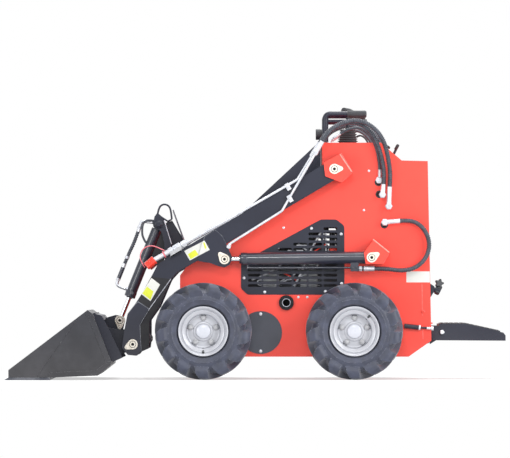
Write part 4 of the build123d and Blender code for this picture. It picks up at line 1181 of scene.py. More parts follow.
# ---------------- body
@dataclass
class BodyDetails:
    """Screws, grommets, welds, film and covers on the red body."""

    side: float = 262.0
    grille_face: float = 265.0
    bracket_face: float = 356.0
    panel_screws: Outline = ((533, 985), (509, 799), (130, 716), (200, 388), (242, 388))
    grille_bolts: Outline = ((262, 713), (402, 686), (-57, 479), (41, 413), (404, 453), (327.5, 415))
    grommets: Outline = ((577.5, 931), (582, 874), (606, 730))
    cover_bolts: Outline = ((21.5, 309), (21.5, 133))
    boom_bracket: Outline = ((318, 1022), (400, 1065), (454, 978), (400, 929), (326, 958))
    lift_bracket: Outline = ((508, 598), (554, 660), (628, 598), (596, 545), (516, 545))
    bent_edges: tuple[Outline, Outline] = (((394.6, 1061.6), (449.5, 979.4)), ((551, 660.2), (627, 598.8)))
    label: Outline = ((710, 458), (821, 458), (820, 510), (710, 510))
    seams: tuple[Outline, Outline] = (
        ((783.5, 300), (788.5, 300), (786, 452), (781, 452)), ((785, 190), (792, 190), (789, 252), (784, 252)))
    # heights of the screws in the rear cover's edges
    rear_rows: tuple[float, ...] = (985, 780, 575, 480, 240)
    louvre_rows: int = 9

    def build(self) -> None:
        """Makes every detail of the body."""
        self.screws()
        self.grommet_rings()
        self.bracket_welds()
        self.films()
        self.rear_louvres()
        self.exhaust_lip()
        self.cowl_details()
        self.hinge_guard()

    def screws(self) -> None:
        """Button-head screws of the panels, grilles and drive covers."""
        shape = Shape()
        for x, z in self.panel_screws:
            shape.button_head(outward(x, z, -self.side), 6.5)
        for x, z in self.grille_bolts:
            shape.button_head(outward(x, z, -self.grille_face), 7.5)
        for x, z in self.cover_bolts:
            shape.hex_bolt(outward(x, z, -self.grille_face), 11, 7)
        shape.mirrored().build("body_screws", Surface.ZINC, "chassis", 32)

    def grommet_rings(self) -> None:
        """Rubber grommets round the bulkhead fittings, with a disc of painted shade for the dark hole inside each."""
        rubber, dark = Shape(), Shape()
        for x, z in self.grommets:
            place = outward(x, z, -self.side)
            rubber.lathe([(17.5, 0), (17.8, 1.8), (16.4, 3.6), (13.4, 3.8), (12.4, 2.4), (12.4, 0.4)], place, 32)
            dark.lathe([(12.8, 0.5), (0.01, 0.6)], place, 24)
        rubber.mirrored().build("fitting_grommets", Surface.NEOPRENE, "chassis")
        dark.mirrored().build("grommet_holes", Surface.DARK_HOLE, "chassis")

    def bracket_welds(self) -> None:
        """Fillet welds along the bent edges of the pivot brackets and where they meet the body, and a painted highlight
        along each bent edge.
        """
        shape = Shape()
        for points in (self.boom_bracket, self.lift_bracket):
            bent = points[1:4]
            shape.weld(at_y(bent[:2], 1 - self.bracket_face), 2.6, 5)
            shape.weld(at_y(bent, -self.side - 1.5), 4.5, 5.5)
            shape.weld(at_y(bent, -351.5), 2.6, 5)
        shape.mirrored().build("bracket_welds", Surface.RED_WELD, "chassis", 60)
        # painted highlight: a pale rod along each bent edge
        edge = Shape()
        for line in self.bent_edges:
            edge.rod(at_y(line, -355.6), 3.2, 10)
        edge.mirrored().build("bracket_edges", Surface.PALE_EDGE, "chassis", 60)

    def films(self) -> None:
        """Blank white film at the rear of each side, and the folded seam below it."""
        white, seam, plug = Shape(), Shape(), Shape()
        white.film(self.label, -self.side)
        for corners in self.seams:
            seam.film(corners, -self.side, 1.2)
        plug.lathe([(9.5, 0), (9.5, 1.4), (8.2, 2.4), (3.2, 2.6), (2.6, 1.4), (0.01, 1.4)],
                   outward(787, 320, -self.side), 24)
        white.mirrored().build("side_films", Surface.WHITE_FILM, "chassis", 15)
        seam.mirrored().build("folded_seams", Surface.RED_WELD, "chassis")
        plug.mirrored().build("seam_plugs", Surface.RED_VINYL, "chassis")

    def rear_louvres(self) -> None:
        """Pressed louvres and cover screws on the leaning rear cover."""
        louvres, screws = Shape(), Shape()
        lean = math.atan2(17, 839)

        def spot(y: float, z: float) -> Vector:
            return Vector((805 + (1025 - z) * math.tan(lean), y, z))

        for z in range(905, 905 - 30 * self.louvre_rows, -30):
            for y in (-92, 92):
                rings = []
                for step in range(13):
                    share = step / 12
                    puff = 5.5 * min(1, 6 * share, 6 * (1 - share)) ** 0.5 if 0 < share < 1 else 0.05
                    base = spot(y - 74 + 148 * share, z)
                    rings.append([base + Vector((out, 0, up)) for out, up in (
                        (-0.6, 9), (0, 9), (puff * 0.6, 2), (puff, -6), (puff * 0.85, -8), (-0.6, -8))])
                louvres.loft(rings)
        for y in (-236, 236):
            for z in self.rear_rows:
                screws.button_head(facing(spot(y, z), (math.cos(lean), 0, math.sin(lean))), 6.5)
        louvres.build("rear_louvres", Surface.RED_WELD, "chassis", 50)
        screws.build("rear_screws", Surface.ZINC, "chassis", 32)

    def exhaust_lip(self) -> None:
        """Rolled lip and clamp ring of the exhaust outlet, and the soot-lined pipe inside."""
        shape = Shape()
        place = outward(143, 362, -276)
        shape.lathe([(34.6, -3), (35.4, 0.2), (34.2, 1.8), (30.5, 2), (29.4, 0.6), (29.2, -1)], place, 48)
        ring = Shape().lathe([(20.6, 1), (20, 2.6), (18.6, 3), (17.4, 2.4), (17.2, 1)], place, 40, closed=True)
        ring.build("exhaust_worn_ring", Surface.BARE_EDGE, "chassis")
        shape.lathe([(24, 0.2), (23.4, 1.6), (18.6, 2.2), (16.6, 1), (16.4, -24), (15.6, -24), (15.4, 0)], place, 40)
        shape.build("exhaust_lip", Surface.SOOTED_STEEL, "chassis")

    def cowl_details(self) -> None:
        """Screws along the front cowl and the hood's quarter-turn latches."""
        screws, latches = Shape(), Shape()
        for y in (-225, -75, 75, 225):
            for z in (150, 300, 450):
                screws.button_head(facing((-356, y, z), (-1, 0, 0)), 6.5)
        slope = Vector((-0.735, 0, 0.678))
        for y in (-205, 205):
            for x in (-190, -130):
                z = 558 + (x + 240) * 178 / 164
                screws.button_head(facing(Vector((x, y, z)) + slope * 2.6, slope), 6.5)
        screws.build("cowl_screws", Surface.ZINC, "chassis", 32)
        rise = Vector((346, 0, 322)).normalized()
        up = Vector((-322, 0, 346)).normalized()
        for y in (-70, 70):
            place = facing(Vector((-60, y, 785)) + rise * 20 + up * 3, up)
            latches.lathe([(13, 0), (13, 1.8), (11.6, 2.8), (10.4, 2.8), (10, 1.8), (0.01, 1.8)], place, 28)
            latches.prism([(-9, -2.2), (9, -2.2), (9, 2.2), (-9, 2.2)], 1.2, 3.2, place, 0.6)
        latches.build("hood_latches", Surface.NYLON, "hood")

    def hinge_guard(self) -> None:
        """Red guard strip over the platform's hinge, just clear of its swing."""
        Shape().block((14, 372, 7), (829, 0, 265), 1.4).build("hinge_guard", Surface.RED_WELD, "chassis")


# ---------------- engine bay
@dataclass
class EngineDress:
    """What shows of the engine through the grille's slots."""

    fin_pitch: float = 11.0
    # (x, z) of the two ends of each steel pipe and each red wire
    fuel_runs: tuple[tuple[Flat, Flat], ...] = (
        ((-20, 470), (140, 560)), ((90, 445), (210, 528)), ((200, 640), (318, 570)), ((150, 470), (300, 548)),
        ((40, 590), (120, 640)))
    wire_runs: tuple[tuple[Flat, Flat], ...] = (((60, 500), (190, 468)), ((230, 585), (330, 640)))
    dipstick: Outline = ((310, 700), (283, 655), (257, 609), (232, 552), (213, 501), (196, 470), (180, 441))
    # x, z, width and height of the flat rails
    rails: tuple[tuple[float, float, float, float], ...] = (
        (216, 632, 52, 9), (161, 607, 24, 9), (207, 607, 34, 9), (330, 648, 7, 90))

    def build(self) -> None:
        """Makes the shroud, the finned cylinders, the pipes and the wiring."""
        self.shroud()
        self.cylinders()
        self.pipes()

    def shroud(self) -> None:
        """Dark fan shroud and air box above the engine, ribbed like a moulding."""
        shape = Shape()
        shape.block((250, 330, 150), (170, 0, 665), 14)
        shape.block((70, 360, 70), (5, 0, 620), 12)
        for number in range(9):
            shape.block((6, 346, 132), (62 + number * 27, 0, 662), 2)
        shape.lathe([(0.01, 196), (52, 196), (56, 188), (56, 150)], facing((215, 0, 630), (0, -1, 0)), 40)
        shape.block((72, 300, 60), (306, 0, 612), 8)
        shape.block((58, 300, 90), (316, 0, 740), 8)
        for x, height in ((357, 90), (371, 90), (400, 140)):
            for y in (-228, 228):
                shape.lathe([(4.6, 0), (5, 2), (5, height), (0.01, height)], facing((x, y, 606), (0, 0, 1)), 14)
        shape.build("engine_shroud", Surface.NYLON, "chassis", 35)

    def cylinders(self) -> None:
        """Two finned cylinder heads on each side of the crankcase, with their covers."""
        shape, covers = Shape(), Shape()
        for x in (70, 250):
            for number in range(9):
                z = 432 + number * self.fin_pitch
                shape.block((104, 34, 3.4), (x, -203, z), 1.2)
            shape.block((84, 18, 108), (x, -196, 478), 4)
            covers.block((92, 26, 26), (x, -206, 546), 6)
            for offset in (-34, 34):
                covers.hex_bolt(facing((x + offset, -219, 546), (0, -1, 0)), 10, 7)
        shape.mirrored().build("cylinder_fins", Surface.CAST_ALUMINIUM, "chassis", 35)
        covers.mirrored().build("rocker_covers", Surface.CAST_ALUMINIUM, "chassis", 35)

    def pipes(self) -> None:
        """Fuel pipes, an exhaust header and red wiring that cross behind the slots."""
        steel, red, rubber, canister = Shape(), Shape(), Shape(), Shape()
        for number, ((x, z), (end_x, end_z)) in enumerate(self.fuel_runs):
            middle = ((x + end_x) / 2 + 12, -236, (z + end_z) / 2 - 16 - 4 * number)
            steel.tube(spline_points([(x, -228, z), middle, (end_x, -226, end_z)], 6), 4.5, 12)
        for (x, z), (end_x, end_z) in self.wire_runs:
            red.tube(spline_points([(x, -240, z), (x + 60, -246, z + 22), (end_x, -240, end_z)], 6), 3.4, 10)
        rubber.tube(spline_points([(-40, -244, 520), (80, -250, 535), (200, -246, 500), (380, -244, 520)], 8), 9, 14)
        steel.tube(spline_points(at_y(self.dipstick, -236), 5), 6, 14)
        steel.tube(even_steps([(113.6, -238, 461), (161, -238, 490)], 5), 3, 10)
        steel.lathe([(15.5, 0), (15.5, 4), (13, 5), (10.5, 4), (10.5, 0)], outward(20, 457, -232), closed=True)
        for x, z, width, height in self.rails:
            steel.block((width, 5, height), (x, -240, z), 1.2)
        canister.lathe([(0.01, 0), (10, 0.8), (13, 4), (13, 34), (10, 38), (0.01, 39)],
                       facing((347, -232, 610), (1, 0, 0)))
        steel.mirrored().build("fuel_pipes", Surface.ZINC, "chassis", slot="")
        canister.mirrored().build("fuel_filters", Surface.RED_VINYL, "chassis")
        red.mirrored().build("engine_wiring", Surface.RED_VINYL, "chassis")
        rubber.mirrored().build("coolant_hose", Surface.NEOPRENE, "chassis", slot="")


# ---------------- controls
@dataclass
class Controls:
    """Boot, grips, throttle, lamp and the small controls on the deck."""

    deck: float = 1115.0
    stem_x: float = 437.0
    bellows_low: float = 51.0
    bellows_high: float = 41.0
    bellows_height: float = 72.0
    folds: int = 6
    grab_z: float = 1256.0
    rail_z: float = 1222.0
    grip_y: float = 130.0

    def build(self) -> None:
        """Makes every control."""
        self.bellows()
        self.grips()
        self.lamp()
        self.deck_controls()

    def bellows(self) -> None:
        """Ribbed rubber boot round the control lever's stem."""
        shape = Shape()
        outline = [(self.bellows_low + 5, 0), (self.bellows_low + 5, 3.5)]
        for step in range(self.folds * 8 + 1):
            share = step / (self.folds * 8)
            middle = self.bellows_low + (self.bellows_high - self.bellows_low) * share
            wave = math.cos(2 * math.pi * self.folds * share)
            outline.append((middle - 4.2 + 4.2 * wave, 5 + (self.bellows_height - 8) * share))
        outline += [(24, self.bellows_height + 1), (13, self.bellows_height + 3), (11, self.bellows_height + 9),
                    (9.2, self.bellows_height + 9)]
        shape.lathe(outline, Matrix.Translation((self.stem_x, 0, self.deck)), 56)
        piece = shape.build("lever_bellows", Surface.NEOPRENE, "chassis", 50)
        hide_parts("lever_boot")

    def grips(self) -> None:
        """Moulded grips on the grab bar, the lever's hooked hand pieces and the rail's end caps."""
        shape = Shape()
        for y in (-self.grip_y, self.grip_y):
            outline = [(14.2, -1), (18.5, 0), (18.8, 3), (17, 5),
                       *grooved(14, 8, 5.4, ((17, 0), (17.9, 1.2), (17.9, 3), (17, 4.2))),
                       (17, 85), (15, 88.5), (10, 90.5), (0.01, 91)]
            shape.lathe(outline, facing((434, y, self.grab_z), (1, 0, 0)), 40)
            shape.lathe([(9.1, -3), (10.4, -2), (10.4, 24), (8.6, 27), (0.01, 27.4)],
                        facing((499, y, self.rail_z), (1, 0, 0)), 28)
        for y in (-58, 58):
            path = spline_points([(418, y, 1276), (436, y, 1274.5), (452, y, 1268), (468, y, 1259)], 2)
            total = line_length(path)
            shape.tube(path, lambda distance, angle: 13 * (1 - max(0, (distance - total + 9) / 9) ** 2 * 0.7), 24)
        for y in (-70, 70):
            sign = 1 if y > 0 else -1
            shape.lathe([(12.4, -30), (13, -29), (13, -1), (12, 1.2), (0.01, 2)],
                        facing((418, y - sign * 1.2, 1276), (0, sign, 0)), 28)
        shape.build("control_grips", Surface.NEOPRENE, "chassis")

    def lamp(self) -> None:
        """Work lamp's bezel, cooling fins, lens and bracket bolts."""
        body, lens = Shape(), Shape()
        place = facing((285, 0, 1163), (-1, 0, 0))
        body.lathe([(24.2, -22), (25.8, -20), (25.8, -1), (24.6, 0.6), (22.2, 0.6), (21.6, -1.6)], place, 48)
        for number in range(5):
            fin = -26 - number * 2.6
            body.lathe([(23, fin), (24.8, fin), (24.8, fin - 1.2), (23, fin - 1.2)], place, 40)
        lens.lathe([(22, -1.4), (16, 0), (0.01, 0.5)], place, 40)
        for y in (-10, 10):
            body.hex_bolt(facing((327, y, 1138), (1, 0, 0)), 8, 5)
        body.build("lamp_body", Surface.NYLON, "chassis", 35, slot="lamp_plastic")
        lens.build("lamp_lens", Surface.LAMP_LENS, "chassis", 35)

    def deck_controls(self) -> None:
        """Lever cable, throttle knob, three gauges and two pull knobs on the sloping deck."""
        cable, knob, metal, face = Shape(), Shape(), Shape(), Shape()
        route = [(478, -10, 1150), (492, -18, 1160), (512, -26, 1152), (528, -32, 1134), (536, -35, 1114)]
        cable.tube(spline_points(route, 3), 4.6, 14)
        cable.lathe([(9, 0), (9, 2), (7, 5), (5, 9), (4.4, 9)], facing((536, -35, 1115), (0.1, 0, 1)), 20)
        tip = facing((676, -60, 1113), (21, 0, 38))
        knob.lathe([(6.1, -28), (7.6, -26), (7.8, -8), (7, -1), (4.6, 1.2), (0.01, 1.8)], tip, 24)
        slope = Vector((0.648, 0, 0.762))
        line = Vector((52, 0, -44)).normalized()
        middle = Vector((613, 0, 1093)) + slope * 1.2
        for y in (40, 95, 150):
            place = facing(middle + Vector((0, y, 0)), slope)
            metal.lathe([(16, 0), (16.4, 2), (15, 3.4), (12.6, 3.4), (12.4, 1.6)], place, 32)
            face.lathe([(12.6, 1.7), (0.01, 1.9)], place, 24)
        for y in (-120, -170):
            place = facing(middle + line * 6 + Vector((0, y, 0)), slope)
            metal.lathe([(8, 0), (8, 2.5), (4, 3.2), (4, 8)], place, 20)
            knob.lathe([(4, 7), (9.5, 8.5), (11, 12), (10, 16), (6, 18), (0.01, 18.4)], place, 24)
        cable.build("lever_cable", Surface.NEOPRENE, "chassis", slot="hose_rubber")
        knob.build("throttle_knobs", Surface.NYLON, "chassis")
        metal.build("gauge_bezels", Surface.ZINC, "chassis")
        face.build("gauge_faces", Surface.WHITE_FILM, "chassis")


# ---------------- arms and linkage
@dataclass(frozen=True)
class PinEnd:
    """Outer end of a pin in its retainer plate."""

    centre: Flat
    face: float
    tail_degrees: float
    body: str

    def build(self, name: str) -> None:
        """Makes the pin's end, the shadow gap round it and the retainer's bolt, on both sides.

        Args:
            name: Name of the pieces.
        """
        steel, gap = Shape(), Shape()
        place = outward(*self.centre, self.face)
        gap.lathe([(16.4, 0), (16, 0.5), (14.2, 0.5), (13.8, 0)], place, 40, closed=True)
        # painted shade in the hollow middle of the pin's end
        gap.lathe([(7, 1.4), (0.01, 1.6)], place, 24)
        steel.lathe([(14, 0), (14, 1.8), (12.8, 3), (7.4, 3), (6.8, 1.2), (6.6, 0.4)], place, 40)
        steel.lathe([(23.6, 0), (23.4, 1), (21.6, 1.6), (20.4, 1.2), (20.2, 0)], place, 48)
        turn = math.radians(self.tail_degrees)
        bolt = (self.centre[0] + 31 * math.cos(turn), self.centre[1] + 31 * math.sin(turn))
        steel.button_head(outward(*bolt, self.face), 5.6)
        steel.mirrored().build(f"{name}_pin_ends", Surface.CREAM_PLATE, self.body, 32)
        gap.mirrored().build(f"{name}_pin_gaps", Surface.DARK_HOLE, self.body)


PIN_ENDS: dict[str, PinEnd] = {
    "boom_pivot": PinEnd((369, 992), -362, 3, "chassis"),
    "lift_base": PinEnd((544.5, 575), -362, 30, "chassis"),
    "lift_rod": PinEnd((-149, 567), -357, 130, "boom"),
    "hitch": PinEnd((-581, 166), -358, 206, "bucket"),
    "bucket_rod": PinEnd((-648, 277), -40, 270, "bucket"),
}


@dataclass
class ArmDetails:
    """Film, welds, couplers, clamps, painted shade sheets and painted highlights on the boom."""

    face: float = 345.0
    plate_face: float = 351.0
    pipe_y: float = -358.0
    leg_film: Outline = ((-493, 479), (-452, 448), (-497, 369), (-541, 403))
    arm_film: Outline = ((-338.5, 606), (-243, 655), (-218, 611), (-312, 561))
    # where the arm's film steps up onto the lug's plate
    arm_fold: tuple[Flat, Flat] = ((-270.5, 583), (-252.5, 650))
    # corners of each yellow field, and the face under its film
    yellow_fields: tuple[tuple[Outline, float], ...] = (
        (((-513.72, 438.52), (-483.52, 415.32), (-496.76, 375.6), (-535.66, 405.7)), -345),
        (((-321.64, 590.04), (-287.47, 612.26), (-271.41, 588.5), (-307.95, 566.7)), -345),
        (((-248.84, 643.8), (-243.64, 647.64), (-233.47, 620.5), (-239.93, 614.7)), -351))
    # painted shade on the leg's face and along its rear edge, where they fall in shadow
    leg_dark: Outline = ((-492, 484), (-403, 474), (-521, 312), (-556, 366))
    rear_dark: Outline = (
        (-401, 474), (-457, 343), (-503, 278), (-503, 182), (-508, 147), (-540, 134), (-547, 259), (-521, 312))
    # painted highlight: the pale line where the leg plate's rear edge catches the light
    light_edge: Outline = ((-401, 474), (-504, 331), (-548, 259), (-542, 137))
    lug_weld: Outline = ((-262, 585), (-243, 668), (-190, 700), (-162, 675), (-127, 604))
    cheek_weld: Outline = ((-504, 331), (-557, 366), (-604, 306))
    saddle: Outline = ((-352, 606), (-402, 576), (-404, 600), (-350, 634))
    clamps: Outline = ((150, 908), (160, 852))
    mast_bar: Outline = (
        (-484, 770), (-487, 748), (-485, 726), (-475, 712), (-459, 706), (-447, 690), (-437, 640), (-434, 560),
        (-446, 540), (-446, 500), (-414, 500), (-404, 545), (-402, 641), (-439, 757), (-472, 787))
    mast_web: Outline = ((-433, 735), (-436, 640), (-430, 545), (-385, 545), (-342, 658), (-399, 752), (-425, 745))
    mast_back: tuple[Flat, Flat] = ((-342, 658), (-395, 803))
    # painted shade in the mast's recess between its bars, behind the cylinder
    mast_sheet: Outline = ((-448, 705), (-507, 560), (-498, 540), (-440, 540), (-430, 640))
    strap: Outline = (
        (-431, 607), (-472, 628), (-503.5, 631), (-531, 618), (-545, 593), (-546, 569), (-535, 545), (-524, 528))
    guide_loop: Outline = ((-468, 784), (-463, 815), (-441, 832), (-414, 824), (-404, 795), (-401, 758))

    def build(self) -> None:
        """Makes every detail of the boom."""
        for name, pin in PIN_ENDS.items():
            pin.build(name)
        self.films()
        self.sheets()
        self.welds()
        self.couplers()
        self.caps()
        self.pipe_clamps()
        self.mast()

    def films(self) -> None:
        """Blank warning film: white plates with a yellow field."""
        white, yellow = Shape(), Shape()
        white.film(self.leg_film, -self.face, 0.7)
        (left, right, right_low, left_low), (low, high) = self.arm_film, self.arm_fold
        white.film((left, high, low, left_low), -self.face, 0.7)
        white.film((high, right, right_low, low), -self.plate_face, 0.7)
        for corners, face in self.yellow_fields:
            yellow.film(corners, face - 0.5, 0.6)
        white.mirrored().build("boom_films", Surface.WHITE_FILM, "boom", 20)
        yellow.mirrored().build("boom_film_fields", Surface.YELLOW_FILM, "boom", 20)

    def sheets(self) -> None:
        """Painted shade: black sheets on the leg's face where it falls in shadow, and a painted highlight along the
        plate's edge between them.
        """
        dark, edge = Shape(), Shape()
        for outline in (self.leg_dark, self.rear_dark):
            dark.loft([at_y(outline, y - self.face) for y in (0.5, -0.5)])
        edge.rod(at_y(self.light_edge, -self.face - 0.6), 2)
        dark.mirrored().build("leg_rub_sheets", Surface.RUB_SHEET, "boom", 30)
        edge.mirrored().build("leg_plate_edges", Surface.BARE_EDGE, "boom", 60)

    def welds(self) -> None:
        """Beads round the cylinder lugs and cheeks, at the cross tubes and under the mast."""
        shape = Shape()
        for y in (-self.face - 0.6, -284.2):
            shape.weld(at_y(self.lug_weld, y), 4, 5)
            shape.weld(at_y(self.cheek_weld, y), 4, 5)
        for (x, z), radius in (((-430, 520), 31.5), ((-520, 190), 21.5)):
            ring = circle(radius, 48)
            shape.weld([(x + across, -284, z + up) for across, up in (*ring, ring[0])], 3.4, 5)
        for y in (-48, -28):
            ring = [(-430 + 31.5 * math.cos(a), y, 520 + 31.5 * math.sin(a)) for a in
                    (math.radians(20 + 28 * step) for step in range(6))]
            shape.weld(ring, 3, 4.5)
        shape.weld([(-345, -39, 660), (-369, -39, 725), (-394, -39, 796)], 2.6, 4.5)
        shape.mirrored().build("boom_welds", Surface.DARK_WELD, "boom", 60)

    def couplers(self) -> None:
        """Flat-face quick couplers on their bent saddles."""
        shape, saddle = Shape(), Shape()
        along = Vector((-150, 0, -83))
        place = facing((-330, self.pipe_y, 646), along)
        outline = [(6.4, -14), (9.5, -13), (9.5, -1), (12, 0), (15, 21), (15, 24), (11.4, 25), (11.4, 29),
                   (15.6, 30.5), (16.6, 32.5), *grooved(7, 33, 4.2, ((16.8, 0), (16.8, 2.4), (15.7, 3), (15.7, 3.9))),
                   (16.6, 63.5), (15.4, 65), (12.2, 66), (12.2, 71), (15.4, 72), (15.9, 74), (15.9, 88), (14.6, 91),
                   (12.6, 92), (12.6, 118), (11.4, 120), (11.4, 139), (12.2, 140), (12.2, 144), (11.4, 145),
                   (11.4, 176), (0.01, 176)]
        shape.lathe(outline, place, 40).hexagon(30, 0.5, 20, place, 2)
        for turn in (35, 155, 275):
            spot = place @ turned(turn) @ Matrix.Translation((15.6, 0, 81)) @ turned(90, "Y")
            shape.lathe([(2.6, -1), (2.4, 1.2), (0.01, 1.6)], spot, 12)
        base = [*self.saddle[:2], (-404, 580), (-354, 610)]
        for outline, low, high in ((self.saddle, -376, -372), (self.saddle, -344.6, -340.6), (base, -376, -340.6)):
            saddle.loft([at_y(outline, low), at_y(outline, high)])
        piece = shape.mirrored().build("quick_couplers", Surface.ZINC, "boom", 35)
        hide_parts("aux_couplers")
        saddle.mirrored().build("coupler_saddles", Surface.GREY_PHOSPHATE, "boom", 35)

    def caps(self) -> None:
        """Ribbed dust caps with the loops that tie them on."""
        shape, loop = Shape(), Shape()
        start, end = Vector((-480, self.pipe_y, 563)), Vector((-516, self.pipe_y, 533))
        length = (end - start).length
        outline = [(12.4, -3), (18.6, -3), (20.8, -1),
                   *grooved(6, 3, 6.4, ((20.8, 0), (20.8, 2.8), (19.2, 3.6), (19.2, 5.6))),
                   (20.6, length - 3), (19, length), (14, length + 1.6), (0.01, length + 1.8)]
        shape.lathe(outline, facing(start, end - start), 40)
        loop.tube(spline_points(at_y(self.strap, self.pipe_y), 4), 2.5, 10)
        loop.lathe([(13.4, -3), (16.6, -3), (16.6, 3), (13.4, 3)], facing((-433, self.pipe_y, 589), (-150, 0, -83)),
                   32, closed=True)
        piece = shape.mirrored().build("dust_caps", Surface.RED_VINYL, "boom", 35, slot="cap_plastic")
        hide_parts("coupler_caps")
        loop.mirrored().build("cap_straps", Surface.PINK_VINYL, "boom")

    def pipe_clamps(self) -> None:
        """Bolts of the pipe clamps, and nuts and olives at the pipes' ends."""
        bolts, nuts = Shape(), Shape()
        for x, z in self.clamps:
            bolts.hex_bolt(outward(x, z, -364.5), 11, 7)
        for start, direction in (((270, -358, 1066), (76, 0, 125)), ((284, -384, 1074), (32, -6, 55))):
            place = facing(start, direction)
            nuts.hexagon(23, -14, 2, place, 1.6)
            nuts.lathe([(8.4, -20), (10.8, -15), (10.8, -13)], place, 28)
            nuts.sleeve(place, 2, 56)
        place = facing((-132, -358, 618), (9, 0, 22))
        nuts.hexagon(19, 2, 14, place, 1.4)
        nuts.lathe([(7.4, 14), (9.2, 15), (8.2, 22), (6.4, 24)], place, 24)
        bolts.mirrored().build("clamp_bolts", Surface.ZINC, "boom", 32)
        nuts.mirrored().build("pipe_nuts", Surface.ZINC, "boom", 32)

    def mast(self) -> None:
        """Cylinder mast: two side bars, a web, the back strip, the hose guide, pin covers, black sheets of painted
        shade in its recess and painted highlights along its edges.
        """
        frame, dark, edge = Shape(), Shape(), Shape()
        for sign in (-1, 1):
            frame.slab(self.mast_bar, sign * 30, sign * 44, 1.6)
        frame.slab(self.mast_web, -4, 4, 1)
        # painted shade: black sheets just inside the bars, where the recess between them falls in shadow
        sheets = Shape().slab(self.mast_sheet, -29, -33, 0.8)
        sheets.mirrored().build("mast_sheets", Surface.RUB_SHEET, "boom", 30)
        low, high = (Vector(corner) for corner in self.mast_back)
        run, middle = high - low, (low + high) / 2
        frame.block((5, 76, run.length), (middle.x, 0, middle.y), 1, Matrix.Rotation(math.atan2(*run), 3, "Y"))
        piece = frame.build("mast_frame", Surface.DARK_ENAMEL, "boom", 30, slot="black_steel")
        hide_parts("cylinder_mast")
        caps, place = Shape(), outward(-463, 735, -52)
        caps.lathe([(19, 0), (19, 2.4), (17, 3.4), (9, 3.6)], place, 36)
        caps.hexagon(24, 3, 12, place, 2)
        caps.mirrored().build("mast_pin_caps", Surface.DARK_ENAMEL, "boom", 35)
        dark.tube(spline_points(at_y(self.guide_loop, -34), 3), 4.6, 12)
        dark.rod(at_y(((-401, 758), (-420, 749), (-452, 770), (-468, 784)), -34), 4.2, 12)
        # painted highlights along the bar's front edge and the back strip's edge
        edge.rod([(-438, -46.3, 756), (-402, -46.3, 641)], 2.2)
        edge.rod([(-341.2, -36, 659), (-395.6, -36, 804)], 2)
        dark.build("mast_fittings", Surface.DARK_ENAMEL, "boom", 35)
        edge.mirrored().build("mast_edges", Surface.BARE_EDGE, "boom", 60)


